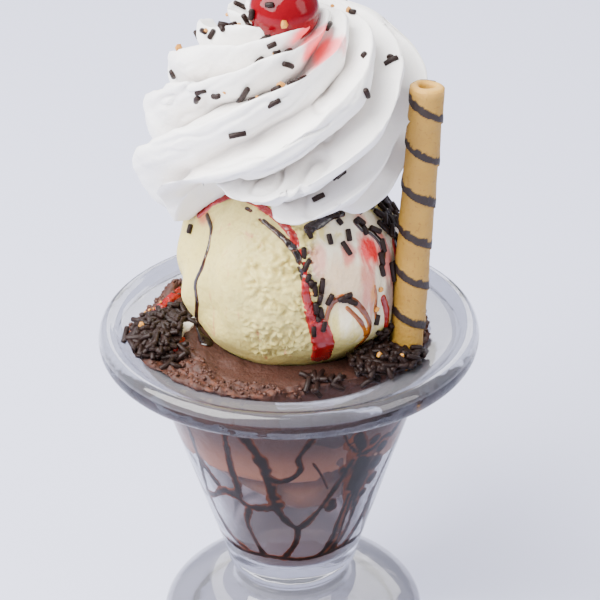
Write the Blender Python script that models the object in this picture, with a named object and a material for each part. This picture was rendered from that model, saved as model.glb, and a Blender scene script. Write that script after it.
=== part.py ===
"""An ice cream sundae in its footed glass dish.

A heavy flared glass holds a wedged chocolate scoop. A vanilla scoop sits on it under a piped
cap of whipped cream with a cherry, beside a rolled wafer and two heaps of sprinkles.
Metres, +Z up, origin under the middle of the foot, front towards -Y.
"""

import math

import bmesh
import bpy
from mathutils import Matrix, Vector, noise

# Driving dimensions

GAP = 0.00035  # clearance that every piece keeps from its neighbours

# Glass dish
RIM_RADIUS = 0.060
RIM_HEIGHT = 0.1163
LIP_HALF_WIDTH = 0.003
LIP_HALF_HEIGHT = 0.0043
FOOT_RADIUS = 0.0433
FOOT_EDGE_HEIGHT = 0.0045
FOOT_RING_RADIUS = 0.033
HEEL_RADIUS = 0.0215
HEEL_HEIGHT = 0.0303
FLOOR_HEIGHT = 0.0362
# Inside of the bowl, from the cone's foot over the throat to the nearly flat flange: radius, height.
INNER_WALL = [
    (0.0205, 0.0395),
    (0.0401, 0.1040),
    (0.0405, 0.1075),
    (0.0413, 0.1101),
    (0.0428, 0.1115),
    (0.0460, 0.1123),
    (0.0505, 0.1129),
    (0.0532, 0.1141),
]
GLASS_STEPS = 38

# Chocolate scoop, wedged in the cone
BALL_RADIUS = 0.0325
BALL_HEIGHT = 0.0856
CHOCOLATE_EDGE = 0.1124
CHOCOLATE_TOP = 0.1128
THROAT_SLACK = 0.0010
CONTACT_ANGLE = 73.0  # where the ball meets the cone, in degrees up from its lowest point
CHOCOLATE_SIDE_SHARE = 0.66  # share of the mesh's rings below the brim
# How far the brim spreads over the flange, by direction in degrees from +X: least at the right front.
CHOCOLATE_SPREAD = {
    -160.0: 0.0505,
    -138.0: 0.0462,
    -112.0: 0.0455,
    -82.0: 0.0382,
    -58.0: 0.0398,
    -35.0: 0.0455,
    0.0: 0.0440,
    50.0: 0.0425,
    100.0: 0.0420,
    145.0: 0.0460,
}

# Vanilla scoop
VANILLA_CENTRE = Vector((0.0017, 0.0, 0.1368))
VANILLA_HALF = Vector((0.0345, 0.0330, 0.0320))
VANILLA_SQUARENESS = 2.2

# Whipped cream
CREAM_RIDGES = 9
CREAM_SLOPE = 0.65  # rise of a ridge for each unit along the side
CREAM_GROOVE = 0.0075
CREAM_FLOOR = 0.155
CREAM_LEAN = 0.0065
CREAM_FOOT_X = -0.0040
CREAM_EDGE_SHARE = 0.14  # share of the mesh's rings on the underside
# Envelope of the ridges' crests, from the lower edge to the top: radius, height.
CREAM_SIDE = [
    (0.0305, 0.1635),
    (0.0380, 0.1665),
    (0.0420, 0.1745),
    (0.0432, 0.1840),
    (0.0425, 0.1935),
    (0.0390, 0.2025),
    (0.0325, 0.2100),
    (0.0235, 0.2158),
    (0.0130, 0.2195),
    (0.0000, 0.2205),
]

# Cherry
CHERRY_CENTRE = Vector((0.0002, -0.0050, 0.2218))
CHERRY_RADIUS = 0.0104

# Wafer roll
WAFER_RADIUS = 0.0053
WAFER_BORE = 0.0024
WAFER_BASE = Vector((0.0358, -0.0172, 0.1129))
WAFER_TOP = Vector((0.0414, -0.0135, 0.2007))

# Sprinkle heaps
HEAP_UNDERSIDE = 0.25  # depth below a heap's middle as a share of its height
LEFT_HEAP_CENTRE = Vector((-0.0402, -0.0095, 0.1158))
LEFT_HEAP_HALF = Vector((0.0088, 0.0140, 0.0048))
LEFT_HEAP_TURN = -14.0
RIGHT_HEAP_CENTRE = Vector((0.0300, -0.0245, 0.1140))
RIGHT_HEAP_HALF = Vector((0.0125, 0.0075, 0.0050))
RIGHT_HEAP_TURN = 25.0


# Helpers


def arc(centre, half_sizes, start, end, count):
    """Points on an elliptical arc in the r, z plane, in degrees from +r towards +z."""
    turns = [math.radians(start + (end - start) * step / (count - 1)) for step in range(count)]
    return [
        (centre[0] + half_sizes[0] * math.cos(turn), centre[1] + half_sizes[1] * math.sin(turn))
        for turn in turns
    ]


def along(points, fraction):
    """The point at a fraction of a smooth curve through the points."""
    spans = len(points) - 1
    place = min(max(fraction, 0.0), 1.0) * spans
    first = min(int(place), spans - 1)
    t = place - first
    before, start = points[max(first - 1, 0)], points[first]
    end, after = points[first + 1], points[min(first + 2, spans)]
    return [
        0.5 * (2 * b + (c - a) * t + (2 * a - 5 * b + 4 * c - d) * t * t + (3 * b - a - 3 * c + d) * t**3)
        for a, b, c, d in zip(before, start, end, after)
    ]


def bump(distance, width):
    """A smooth hill of height 1."""
    return math.exp(-((distance / width) ** 2))


def turn_from(angle, centre):
    """The signed difference between two directions in degrees, within half a turn."""
    return (angle - centre + 180.0) % 360.0 - 180.0


def ease(value):
    """0 below 0, 1 above 1 and smooth between."""
    value = min(max(value, 0.0), 1.0)
    return value * value * (3.0 - 2.0 * value)


def coat(name, colour, roughness, transmission=0.0):
    material = bpy.data.materials.new(name)
    material.use_nodes = True
    shader = material.node_tree.nodes["Principled BSDF"]
    shader.inputs["Base Color"].default_value = (*colour, 1.0)
    shader.inputs["Roughness"].default_value = roughness
    shader.inputs["Metallic"].default_value = 0.0
    shader.inputs["Transmission Weight"].default_value = transmission
    return material


def add_piece(name, shape, material=None):
    """Puts a bmesh in the scene as a smooth-shaded object."""
    mesh = bpy.data.meshes.new(name)
    shape.to_mesh(mesh)
    shape.free()
    mesh.shade_smooth()
    piece = bpy.data.objects.new(name, mesh)
    bpy.context.scene.collection.objects.link(piece)
    if material:
        mesh.materials.append(material)
    return piece


def add_turned(name, outline, steps, closed, material):
    """Turns an outline in the r, z plane about the Z axis."""
    shape = bmesh.new()
    verts = [shape.verts.new((radius, 0.0, height)) for radius, height in outline]
    for first, second in zip(verts, verts[1:] + verts[:1] if closed else verts[1:]):
        shape.edges.new((first, second))
    piece = add_piece(name, shape, material)
    screw = piece.modifiers.new("turn", "SCREW")
    screw.steps = screw.render_steps = steps
    screw.use_merge_vertices = True
    screw.merge_threshold = 0.00005
    return piece


def add_ball(name, sectors, rings, place, material):
    """A closed ball whose every direction is moved to where place(angle, rise) says.

    angle is in radians from +X, and rise runs from 0 at the bottom pole to 1 at the top.
    """
    shape = bmesh.new()
    bmesh.ops.create_uvsphere(shape, u_segments=sectors, v_segments=rings, radius=1.0)
    for vert in shape.verts:
        angle = math.atan2(vert.co.y, vert.co.x)
        rise = 0.5 + math.asin(max(-1.0, min(1.0, vert.co.z))) / math.pi
        vert.co = place(angle, rise)
    return add_piece(name, shape, material)


def hide_cutter(cutter):
    cutter.hide_render = True
    cutter.display_type = "WIRE"
    return cutter


def grown_copy(piece, clearance=GAP):
    """A cutter in the shape of a piece, larger by the clearance all round."""
    mesh = piece.data.copy()
    for vertex in mesh.vertices:
        vertex.co += vertex.normal * clearance
    cutter = bpy.data.objects.new(piece.name + "_clearance", mesh)
    cutter.matrix_world = piece.matrix_world
    bpy.context.scene.collection.objects.link(cutter)
    return hide_cutter(cutter)


def cut(piece, *cutters):
    for cutter in cutters:
        boolean = piece.modifiers.new("clear " + cutter.name, "BOOLEAN")
        boolean.operation = "DIFFERENCE"
        boolean.solver = "EXACT"
        boolean.object = cutter


# Glass dish


def inner_radius(height):
    """Inside radius of the bowl at a height."""
    for (low_radius, low), (high_radius, high) in zip(INNER_WALL, INNER_WALL[1:]):
        if height <= high:
            return low_radius + (high_radius - low_radius) * (height - low) / (high - low)
    return INNER_WALL[-1][0]


def inner_height(radius):
    """Height of the bowl's inside at a radius."""
    for (low_radius, low), (high_radius, high) in zip(INNER_WALL, INNER_WALL[1:]):
        if radius <= high_radius:
            return low + (high - low) * (radius - low_radius) / (high_radius - low_radius)
    return INNER_WALL[-1][1]


def build_glass(material):
    """One heavy pressed piece: floor, cone, flange, lip, heel, stem and domed foot."""
    floor = [(0.0, FLOOR_HEIGHT), (0.0155, FLOOR_HEIGHT), (0.0187, 0.0371)]
    lip_centre = (RIM_RADIUS - LIP_HALF_WIDTH, RIM_HEIGHT - LIP_HALF_HEIGHT)
    lip = [(0.0549, 0.1156)] + arc(lip_centre, (LIP_HALF_WIDTH, LIP_HALF_HEIGHT), 105.0, -105.0, 8)
    under_flange = arc((0.0530, 0.0985), (0.0098, 0.0090), 100.0, 170.0, 4)
    heel = arc((0.0172, HEEL_HEIGHT), (HEEL_RADIUS - 0.0172, 0.0052), -2.0, -62.0, 3)
    stem = arc((0.0245, 0.0222), (0.0068, 0.0066), 170.0, 245.0, 4)
    dome = arc((0.0213, FOOT_EDGE_HEIGHT), (FOOT_RADIUS - 0.0213, 0.0116), 82.0, 0.0, 7)
    edge = arc((0.0396, FOOT_EDGE_HEIGHT), (FOOT_RADIUS - 0.0396, FOOT_EDGE_HEIGHT), -35.0, -90.0, 3)
    under = [(FOOT_RING_RADIUS, 0.0), (0.0290, 0.0026), (0.0150, 0.0040), (0.0, 0.0044)]
    outline = floor + INNER_WALL + lip + under_flange + heel + stem + dome + edge + under
    return add_turned("glass_dish", outline, GLASS_STEPS, False, material)


# Chocolate scoop


def free_radius(angle, height):
    """The chocolate's radius at a height: held by the glass, or by its own spread over the flange."""
    slack = 1.5 * GAP + THROAT_SLACK * ease((height - INNER_WALL[1][1]) / 0.004)
    return min(edge_radius(angle), inner_radius(height - slack) - slack)


def edge_radius(angle):
    """The chocolate's spread in any direction, blended from the nearest of CHOCOLATE_SPREAD."""
    weights = {centre: bump(turn_from(math.degrees(angle), centre), 18.0) for centre in CHOCOLATE_SPREAD}
    weighted = sum(CHOCOLATE_SPREAD[centre] * weight for centre, weight in weights.items())
    return weighted / sum(weights.values())


def edge_height(angle):
    """The chocolate's brim lies on the flange, and is lowest at the back."""
    level = CHOCOLATE_EDGE - 0.0022 * bump(turn_from(math.degrees(angle), 85.0), 50.0)
    return max(level, inner_height(edge_radius(angle)) + 0.0016)


def chocolate_top(x, y):
    """Height of the chocolate's top: raised at the left and at the back left, lower at the back."""
    height = CHOCOLATE_TOP + 0.0035 * bump(math.hypot(x + 0.034, y + 0.008), 0.014)
    height += 0.0105 * bump(math.hypot(x + 0.0390, y - 0.014), 0.0115)
    height -= 0.0022 * ease((y - 0.018) / 0.016)
    return height + 0.0012 * noise.noise(Vector((x, y, 0.0)) * 130.0)


def chocolate_place(angle, rise):
    """A lopsided ball below, pressed to the cone above, then the brim and the crumbly top."""
    contact = math.radians(CONTACT_ANGLE)
    out = Vector((math.cos(angle), math.sin(angle), 0.0))
    brim = edge_height(angle)
    if rise < CHOCOLATE_SIDE_SHARE:
        share = 2.0 * rise / CHOCOLATE_SIDE_SHARE
        turn = contact * min(share, 1.0)
        radius = BALL_RADIUS * math.sin(turn)
        height = BALL_HEIGHT - BALL_RADIUS * math.cos(turn)
        if share < 1.0:
            left = bump(turn_from(math.degrees(angle), 200.0), 55.0)
            height += 0.0075 * left * math.sin(math.pi * share)
        else:
            height += (brim - height) * (share - 1.0) ** 0.8
            radius = free_radius(angle, height)
        return out * radius + Vector((0.0, 0.0, height))
    inward = (rise - CHOCOLATE_SIDE_SHARE) / (1.0 - CHOCOLATE_SIDE_SHARE)
    spot = out * free_radius(angle, brim) * (1.0 - inward) ** 0.8
    lift = ease(inward / 0.25)
    height = brim + (chocolate_top(spot.x, spot.y) - brim) * lift + 0.0010 * math.sqrt(inward) * (1.0 - lift)
    return Vector((spot.x, spot.y, height))


def build_chocolate(material):
    return add_ball("chocolate_scoop", 34, 20, chocolate_place, material)


# Vanilla scoop


def vanilla_place(angle, rise):
    """A full, slightly squared scoop with broad uneven swellings."""
    tilt = (rise - 0.5) * math.pi
    direction = Vector((math.cos(angle) * math.cos(tilt), math.sin(angle) * math.cos(tilt), math.sin(tilt)))
    power = VANILLA_SQUARENESS
    reach = sum(abs(part) ** power for part in direction) ** (-1.0 / power)
    swell = 1.0 + 0.020 * noise.noise(direction * 2.1)
    return VANILLA_CENTRE + direction * reach * swell * VANILLA_HALF


def build_vanilla(material):
    return add_ball("vanilla_scoop", 28, 18, vanilla_place, material)


# Whipped cream

def cream_twist(share):
    """How far a ridge has turned about the axis by this share of the way up, in radians."""
    steps = 40
    turn = 0.0
    previous = CREAM_SIDE[0]
    for step in range(1, steps + 1):
        here = along(CREAM_SIDE, share * step / steps)
        length = math.dist(here, previous)
        turn += length / (CREAM_SLOPE * max(here[0], 0.010))
        previous = here
    return turn


def ridge(phase):
    """1 on a sharp crest, 0 in the round groove between two ridges."""
    leaning = phase + 0.45 * math.sin(phase)
    return 1.0 - abs(math.sin(0.5 * leaning)) ** 0.85


def cream_drop(degrees):
    """The lower edge hangs at the left, lifts to an arch at the front left, and is uneven all round."""
    hang = 0.0160 * bump(turn_from(degrees, 184.0), 26.0) + 0.0040 * bump(turn_from(degrees, 95.0), 40.0)
    return hang - 0.0085 * bump(turn_from(degrees, 243.0), 20.0)


def cream_place(angle, rise):
    """Ridges wind up a leaning dome: the angle follows a ridge, so a crest is a line of the mesh."""
    share = max(0.0, (rise - CREAM_EDGE_SHARE) / (1.0 - CREAM_EDGE_SHARE))
    radius, height = along(CREAM_SIDE, share)
    turned = angle + cream_twist(share) + math.radians(-12.0)
    degrees = math.degrees(turned)
    wobble = 0.25 * math.sin(3.0 * angle + 1.0)
    depth = CREAM_GROOVE * ease(share / 0.10 + 0.25) * ease((1.0 - share) / 0.30)
    depth *= 1.0 + wobble
    groove = 1.0 - ridge(CREAM_RIDGES * angle)
    radius -= depth * groove
    height -= cream_drop(degrees) * (1.0 - ease(share / 0.38))
    height += 0.0035 * groove * (1.0 - ease(share / 0.12))
    height -= 0.6 * depth * groove * ease((share - 0.45) / 0.3)
    if rise < CREAM_EDGE_SHARE:
        inward = rise / CREAM_EDGE_SHARE
        radius *= inward
        height = CREAM_FLOOR + (height - CREAM_FLOOR) * ease(inward)
    lean = CREAM_FOOT_X + CREAM_LEAN * ease((height - 0.170) / 0.032)
    return Vector((lean + radius * math.cos(turned), radius * math.sin(turned), height))


def build_cream(material):
    return add_ball("whipped_cream", CREAM_RIDGES * 6, 20, cream_place, material)


# Cherry


def cherry_place(angle, rise):
    """A ball with a dimple on top, where the stem has been pulled."""
    tilt = (rise - 0.5) * math.pi
    radius = CHERRY_RADIUS * math.cos(tilt)
    height = CHERRY_RADIUS * math.sin(tilt) * 0.96 - 0.0022 * bump(radius, 0.0030) * ease(tilt)
    return CHERRY_CENTRE + Vector((radius * math.cos(angle), radius * math.sin(angle), height))


def build_cherry(material):
    return add_ball("cherry", 18, 11, cherry_place, material)


# Wafer roll


def wafer_axis():
    """Turns +Z onto the wafer's own leaning axis."""
    return (WAFER_TOP - WAFER_BASE).to_track_quat("Z", "Y").to_matrix().to_4x4()


def build_wafer(material):
    length = (WAFER_TOP - WAFER_BASE).length
    soften = 0.0006
    outline = [
        (WAFER_BORE, length - soften),
        (WAFER_BORE + soften, length),
        (WAFER_RADIUS - soften, length),
        (WAFER_RADIUS, length - soften),
        (WAFER_RADIUS, soften),
        (WAFER_RADIUS - soften, 0.0),
        (WAFER_BORE + soften, 0.0),
        (WAFER_BORE, soften),
    ]
    wafer = add_turned("wafer_roll", outline, 20, True, material)
    wafer.matrix_world = Matrix.Translation(WAFER_BASE) @ wafer_axis()
    return wafer


def build_wafer_clearance():
    """A solid rod, one gap wider and deeper than the wafer."""
    length = (WAFER_TOP - WAFER_BASE).length + 2.0 * GAP
    shape = bmesh.new()
    bmesh.ops.create_cone(
        shape, cap_ends=True, segments=20, depth=length,
        radius1=WAFER_RADIUS + GAP, radius2=WAFER_RADIUS + GAP,
    )
    middle = (WAFER_BASE + WAFER_TOP) / 2.0
    bmesh.ops.transform(shape, matrix=Matrix.Translation(middle) @ wafer_axis(), verts=shape.verts)
    return hide_cutter(add_piece("wafer_clearance", shape))


# Sprinkle heaps


def heap_place(centre, half_sizes, turn):
    """A lumpy mound with a flat underside, its long side turned by an angle in degrees."""

    def place(angle, rise):
        tilt = (rise - 0.5) * math.pi
        level = math.cos(tilt)
        direction = Vector((math.cos(angle) * level, math.sin(angle) * level, math.sin(tilt)))
        lumps = 1.0 + 0.25 * noise.noise(direction * 2.6 + centre * 90.0)
        spot = direction * lumps * half_sizes
        spot.z *= 1.0 if spot.z > 0.0 else HEAP_UNDERSIDE
        return centre + Matrix.Rotation(math.radians(turn), 3, "Z") @ spot

    return place


def build_left_heap(material):
    place = heap_place(LEFT_HEAP_CENTRE, LEFT_HEAP_HALF, LEFT_HEAP_TURN)
    return add_ball("sprinkles_left", 16, 10, place, material)


def build_right_heap(material):
    place = heap_place(RIGHT_HEAP_CENTRE, RIGHT_HEAP_HALF, RIGHT_HEAP_TURN)
    return add_ball("sprinkles_right", 16, 10, place, material)


# Assembly


def clear_scene():
    for old in list(bpy.data.objects):
        bpy.data.objects.remove(old)


def build_sundae():
    clear_scene()
    build_glass(coat("glass_dish", (0.86, 0.88, 0.90), 0.03, 1.0))
    chocolate = build_chocolate(coat("chocolate_scoop", (0.16, 0.065, 0.038), 0.55))
    vanilla = build_vanilla(coat("vanilla_scoop", (0.72, 0.60, 0.38), 0.42))
    cream = build_cream(coat("whipped_cream", (0.90, 0.87, 0.85), 0.40))
    cherry = build_cherry(coat("cherry", (0.50, 0.012, 0.020), 0.12))
    build_wafer(coat("wafer_roll", (0.56, 0.33, 0.10), 0.65))
    dark = coat("sprinkles", (0.040, 0.016, 0.011), 0.35)
    left_heap = build_left_heap(dark)
    right_heap = build_right_heap(dark)
    vanilla_clearance = grown_copy(vanilla)
    wafer_clearance = build_wafer_clearance()
    chocolate_clearance = grown_copy(chocolate, 2.5 * GAP)
    cut(chocolate, vanilla_clearance, wafer_clearance)
    cut(vanilla, wafer_clearance)
    cut(cream, vanilla_clearance, grown_copy(cherry), wafer_clearance)
    cut(left_heap, chocolate_clearance)
    cut(right_heap, chocolate_clearance, vanilla_clearance, wafer_clearance)


build_sundae()
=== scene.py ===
# %% [markdown]
# # An ice cream sundae in its footed glass dish
#
# The dish is heavy pressed glass. A chocolate scoop is wedged in its cone, over a web of sauce
# that was drawn on the inside of the glass first. A vanilla scoop sits on it, and piped whipped
# cream covers that. A cherry, a rolled wafer, chocolate sprinkles and chopped nuts finish it.
#
# The solids of the frame are the true size of everything. This lesson gives each of them a finer
# surface and a finish, and adds the small and thin things: sprinkles, nuts, crumbs and sauces.

import math
import random

import bmesh
import bpy
from mathutils import Matrix, Quaternion, Vector, noise
from mathutils.bvhtree import BVHTree
from mathutils.kdtree import KDTree


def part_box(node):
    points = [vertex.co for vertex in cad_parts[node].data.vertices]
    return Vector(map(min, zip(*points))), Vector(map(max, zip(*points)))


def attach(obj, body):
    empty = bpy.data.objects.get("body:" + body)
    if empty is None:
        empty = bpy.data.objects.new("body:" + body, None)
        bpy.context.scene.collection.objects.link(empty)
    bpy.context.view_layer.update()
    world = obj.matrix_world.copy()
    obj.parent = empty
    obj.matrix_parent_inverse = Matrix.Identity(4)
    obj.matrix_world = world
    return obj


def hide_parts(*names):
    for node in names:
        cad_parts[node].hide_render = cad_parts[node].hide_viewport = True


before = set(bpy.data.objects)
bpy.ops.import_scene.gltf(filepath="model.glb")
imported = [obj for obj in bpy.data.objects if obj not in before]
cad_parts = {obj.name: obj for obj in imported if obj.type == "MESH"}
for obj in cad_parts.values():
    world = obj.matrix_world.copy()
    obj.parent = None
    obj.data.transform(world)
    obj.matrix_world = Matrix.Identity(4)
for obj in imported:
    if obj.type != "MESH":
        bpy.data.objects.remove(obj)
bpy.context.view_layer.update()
glass_low, glass_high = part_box("glass_dish")
cherry_low, cherry_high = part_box("cherry")
MM = 0.001
UP = Vector((0.0, 0.0, 1.0))
print("dish", [round(side / MM) for side in glass_high - glass_low], "mm")

# %% [markdown]
# ## Small helpers
#
# Natural shapes are smooth hills, soft steps and noise laid over one another. These few functions
# make them, and every later cell uses them.


# %% Helpers for shapes
def bump(distance, width):
    """A smooth hill of height 1 in the middle."""
    return math.exp(-((distance / width) ** 2))


def ease(value):
    """0 below 0, 1 above 1 and smooth between."""
    value = min(max(value, 0.0), 1.0)
    return value * value * (3.0 - 2.0 * value)


def turn_from(degrees, centre):
    """The signed difference between two directions in degrees, within half a turn."""
    return (degrees - centre + 180.0) % 360.0 - 180.0


def sector(degrees, centre, width):
    """A smooth hill of height 1 in one direction round the axis, all in degrees."""
    return bump(turn_from(degrees, centre), width)


def along(points, fraction):
    """The point at a fraction of a smooth curve through the points."""
    spans = len(points) - 1
    place = min(max(fraction, 0.0), 1.0) * spans
    first = min(int(place), spans - 1)
    t = place - first
    before, start = points[max(first - 1, 0)], points[first]
    end, after = points[first + 1], points[min(first + 2, spans)]
    return [
        0.5 * (2*b + (c - a) * t + (2*a - 5*b + 4*c - d) * t * t + (3*b - a - 3*c + d) * t**3)
        for a, b, c, d in zip(before, start, end, after)
    ]


def arc(centre, half_sizes, start, end, count):
    """Points on an elliptical arc in the r, z plane, in degrees from +r towards +z."""
    turns = [math.radians(start + (end - start) * step / (count - 1)) for step in range(count)]
    return [
        (centre[0] + half_sizes[0] * math.cos(turn), centre[1] + half_sizes[1] * math.sin(turn))
        for turn in turns
    ]


def rough(place, size, layers=3):
    """Fractal noise from about -1 to 1, with lumps of this size in metres."""
    return noise.fractal(place / size, 1.0, 2.0, layers, noise_basis="PERLIN_ORIGINAL")


def shaped_ball(sectors, rings, place):
    """A closed ball whose every vertex is moved to where place(angle, rise) says.

    angle is in radians from +X, and rise runs from 0 at the bottom pole to 1 at the top.
    """
    shape = bmesh.new()
    bmesh.ops.create_uvsphere(shape, u_segments=sectors, v_segments=rings, radius=1.0)
    for vert in shape.verts:
        angle = math.atan2(vert.co.y, vert.co.x)
        rise = 0.5 + math.asin(max(-1.0, min(1.0, vert.co.z))) / math.pi
        vert.co = place(angle, rise)
    return shape


def roughen(shape, relief):
    """Moves every vertex along its own normal by relief(place, normal)."""
    shape.normal_update()
    moves = [relief(vert.co, vert.normal) * vert.normal for vert in shape.verts]
    for vert, move in zip(shape.verts, moves):
        vert.co += move


def smooth(shape):
    """Moves every vertex halfway to the middle of its neighbours."""
    bmesh.ops.smooth_vert(
        shape, verts=shape.verts, factor=0.5, use_axis_x=True, use_axis_y=True, use_axis_z=True
    )


def turned(outline, steps):
    """An outline in the r, z plane, spun about the Z axis into a closed skin."""
    shape = bmesh.new()
    verts = [shape.verts.new((radius, 0.0, height)) for radius, height in outline]
    edges = [shape.edges.new(pair) for pair in zip(verts, verts[1:])]
    bmesh.ops.spin(
        shape, geom=verts + edges, axis=UP, angle=math.tau, steps=steps, use_merge=True
    )
    bmesh.ops.remove_doubles(shape, verts=shape.verts, dist=0.001 * MM)
    bmesh.ops.recalc_face_normals(shape, faces=shape.faces)
    return shape


def set_down(shape, verts, turn, place):
    """Turns these vertices and moves them to a place."""
    bmesh.ops.transform(shape, matrix=Matrix.Translation(place) @ turn, verts=verts)


def nearest(skin, x, y, z):
    """The place of a skin that is nearest to x, y, z in millimetres, and its normal there."""
    place, normal, _, _ = skin.find_nearest(Vector((x, y, z)) * MM)
    return place, normal


def put(name, data):
    """Puts an object with this mesh, lamp or camera in the scene."""
    thing = bpy.data.objects.new(name, data)
    bpy.context.scene.collection.objects.link(thing)
    return thing


def mesh_of(name, shape):
    """Turns a bmesh into a mesh and frees it."""
    mesh = bpy.data.meshes.new(name)
    shape.to_mesh(mesh)
    shape.free()
    return mesh


def add_piece(name, shape, finish, replaces=()):
    """Puts a bmesh in the scene as a smooth piece that rides with the dish."""
    mesh = mesh_of(name, shape)
    mesh.shade_smooth()
    mesh.materials.append(finish.material)
    piece = put(name, mesh)
    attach(piece, "root")
    if replaces:
        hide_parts(*replaces)
    print(name, len(mesh.polygons), "faces")
    return piece


def keep_values(piece, name, values):
    """Stores one number for each vertex, which a finish can read by this name."""
    layer = piece.data.attributes.new(name, "FLOAT", "POINT")
    layer.data.foreach_set("value", values)


def skin_of(piece):
    """A search tree for the nearest place on a piece."""
    shape = bmesh.new()
    shape.from_mesh(piece.data)
    tree = BVHTree.FromBMesh(shape)
    shape.free()
    return tree


# %% [markdown]
# ## Finishes are built from a few kinds of node
#
# Each finish starts as a Principled BSDF. What is the same all over the surface is set on its own
# sockets. What varies is built from noise, ramps and mixes that read the piece's Object
# coordinates, so a pattern stays where it is on the piece.


# %% Helpers for finishes
def paint(red, green, blue):
    """A colour given as 0 to 255 in each channel, in the linear values that shaders use."""
    channels = [channel / 255.0 for channel in (red, green, blue)]
    linear = [c / 12.92 if c <= 0.04045 else ((c + 0.055) / 1.055) ** 2.4 for c in channels]
    return (*linear, 1.0)


class Finish:
    """A material in the making. Each method adds a node and gives back its result."""

    def __init__(self, name, **sockets):
        self.material = bpy.data.materials.new(name)
        self.material.use_nodes = True
        self.nodes = self.material.node_tree.nodes
        self.links = self.material.node_tree.links
        self.shader = self.nodes["Principled BSDF"]
        self.set(**sockets)
        self.place = self.nodes.new("ShaderNodeTexCoord").outputs["Object"]

    def set(self, **sockets):
        for name, value in sockets.items():
            self.feed(self.shader.inputs[name.replace("_", " ")], value)

    def feed(self, socket, value):
        if isinstance(value, bpy.types.NodeSocket):
            self.links.new(value, socket)
        else:
            socket.default_value = value

    def add(self, kind, result, options={}, **sockets):
        """Adds a node with these options and socket values and gives back one of its results."""
        node = self.nodes.new(kind)
        for name, value in options.items():
            setattr(node, name, value)
        for name, value in sockets.items():
            self.feed(node.inputs[name.replace("_", " ")], value)
        return node.outputs[result]

    def math(self, operation, *values):
        node = self.nodes.new("ShaderNodeMath")
        node.operation = operation
        for socket, value in zip(node.inputs, values):
            self.feed(socket, value)
        return node.outputs[0]

    def noise(self, size, detail=3.0, stretch=(1, 1, 1), distortion=0.0):
        """Noise with lumps of a size in metres, longer where stretch is larger."""
        scale = [1.0 / (size * part) for part in stretch]
        place = self.add("ShaderNodeMapping", "Vector", Vector=self.place, Scale=scale)
        sockets = {"Vector": place, "Detail": detail, "Distortion": distortion}
        return self.add("ShaderNodeTexNoise", "Fac", Scale=1.0, **sockets)

    def pits(self, size):
        """Distance to the nearest of many scattered points, in units of their spacing."""
        return self.add("ShaderNodeTexVoronoi", "Distance", Vector=self.place, Scale=1.0 / size)

    def spot(self, centre, size, stretch=(1, 1, 1)):
        """1 at a place on the piece, falling to 0 at this distance from it."""
        sockets = {"Location": centre, "Scale": [size * part for part in stretch]}
        kind = {"vector_type": "TEXTURE"}
        place = self.add("ShaderNodeMapping", "Vector", kind, Vector=self.place, **sockets)
        kind = {"gradient_type": "SPHERICAL"}
        return self.add("ShaderNodeTexGradient", "Fac", kind, Vector=place)

    def share(self, value, low, high):
        """0 where the value is below low, 1 above high and smooth between."""
        kind = {"interpolation_type": "SMOOTHSTEP"}
        sockets = {"Value": value, "From_Min": low, "From_Max": high}
        return self.add("ShaderNodeMapRange", "Result", kind, **sockets)

    def mix(self, factor, first, second):
        node = self.nodes.new("ShaderNodeMix")
        node.data_type = "RGBA"
        for index, value in ((0, factor), (6, first), (7, second)):
            self.feed(node.inputs[index], value)
        return node.outputs[2]

    def attribute(self, name):
        return self.add("ShaderNodeAttribute", "Fac", {"attribute_name": name})

    def mottle(self, cloud, first, second):
        """Sets a base colour that drifts between two, as a noise does."""
        self.tone = self.mix(cloud, paint(*first), paint(*second))
        self.set(Base_Color=self.tone)

    def over(self, share, colour, strength=1.0):
        """Lays a colour over the base colour, where share is 1."""
        self.tone = self.mix(self.math("MULTIPLY", share, strength), self.tone, paint(*colour))
        self.set(Base_Color=self.tone)

    def relief(self, height, depth):
        """Bump of a depth in metres, read from a height of 0 to 1."""
        self.set(Normal=self.add("ShaderNodeBump", "Normal", Distance=depth, Height=height))


# %% [markdown]
# ## The studio
#
# The dish stands on a pale floor that fills the view, because the camera looks down on it. A large
# soft lamp at the upper left is the main light. A second one at the right is weaker, and a third
# behind lets light shine through the glass. All are far larger than the dish, so shadows are soft.

# %% Floor, lamps and camera
look = Finish("studio_floor", Roughness=0.9, Specular_IOR_Level=0.2)
look.mottle(look.noise(0.6, 2.0), (199, 202, 226), (204, 207, 230))
floor_shape = bmesh.new()
bmesh.ops.create_grid(floor_shape, x_segments=1, y_segments=1, size=6.0)
floor = put("floor", mesh_of("floor", floor_shape))
floor.data.materials.append(look.material)
floor.location.z = -0.0002


def add_lamp(name, place, target, size, power):
    lamp = bpy.data.lights.new(name, "AREA")
    lamp.shape = "RECTANGLE"
    lamp.size, lamp.size_y = size
    lamp.energy = power
    lamp.color = (1.0, 0.985, 0.97)
    holder = put(name, lamp)
    holder.location = place
    holder.rotation_euler = (Vector(target) - Vector(place)).to_track_quat("-Z", "Y").to_euler()


TARGET = (0.0, 0.0, 0.13)
add_lamp("main_lamp", (-0.75, -0.35, 1.05), TARGET, (1.3, 1.3), 90.0)
add_lamp("side_lamp", (1.0, -0.5, 0.75), TARGET, (0.6, 0.9), 8.0)
add_lamp("back_lamp", (0.25, 1.1, 0.85), TARGET, (1.2, 0.6), 14.0)
world = bpy.data.worlds.new("studio_air")
world.use_nodes = True
world.node_tree.nodes["Background"].inputs["Color"].default_value = (0.9, 0.92, 1.0, 1.0)
world.node_tree.nodes["Background"].inputs["Strength"].default_value = 0.66
bpy.context.scene.world = world

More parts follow.
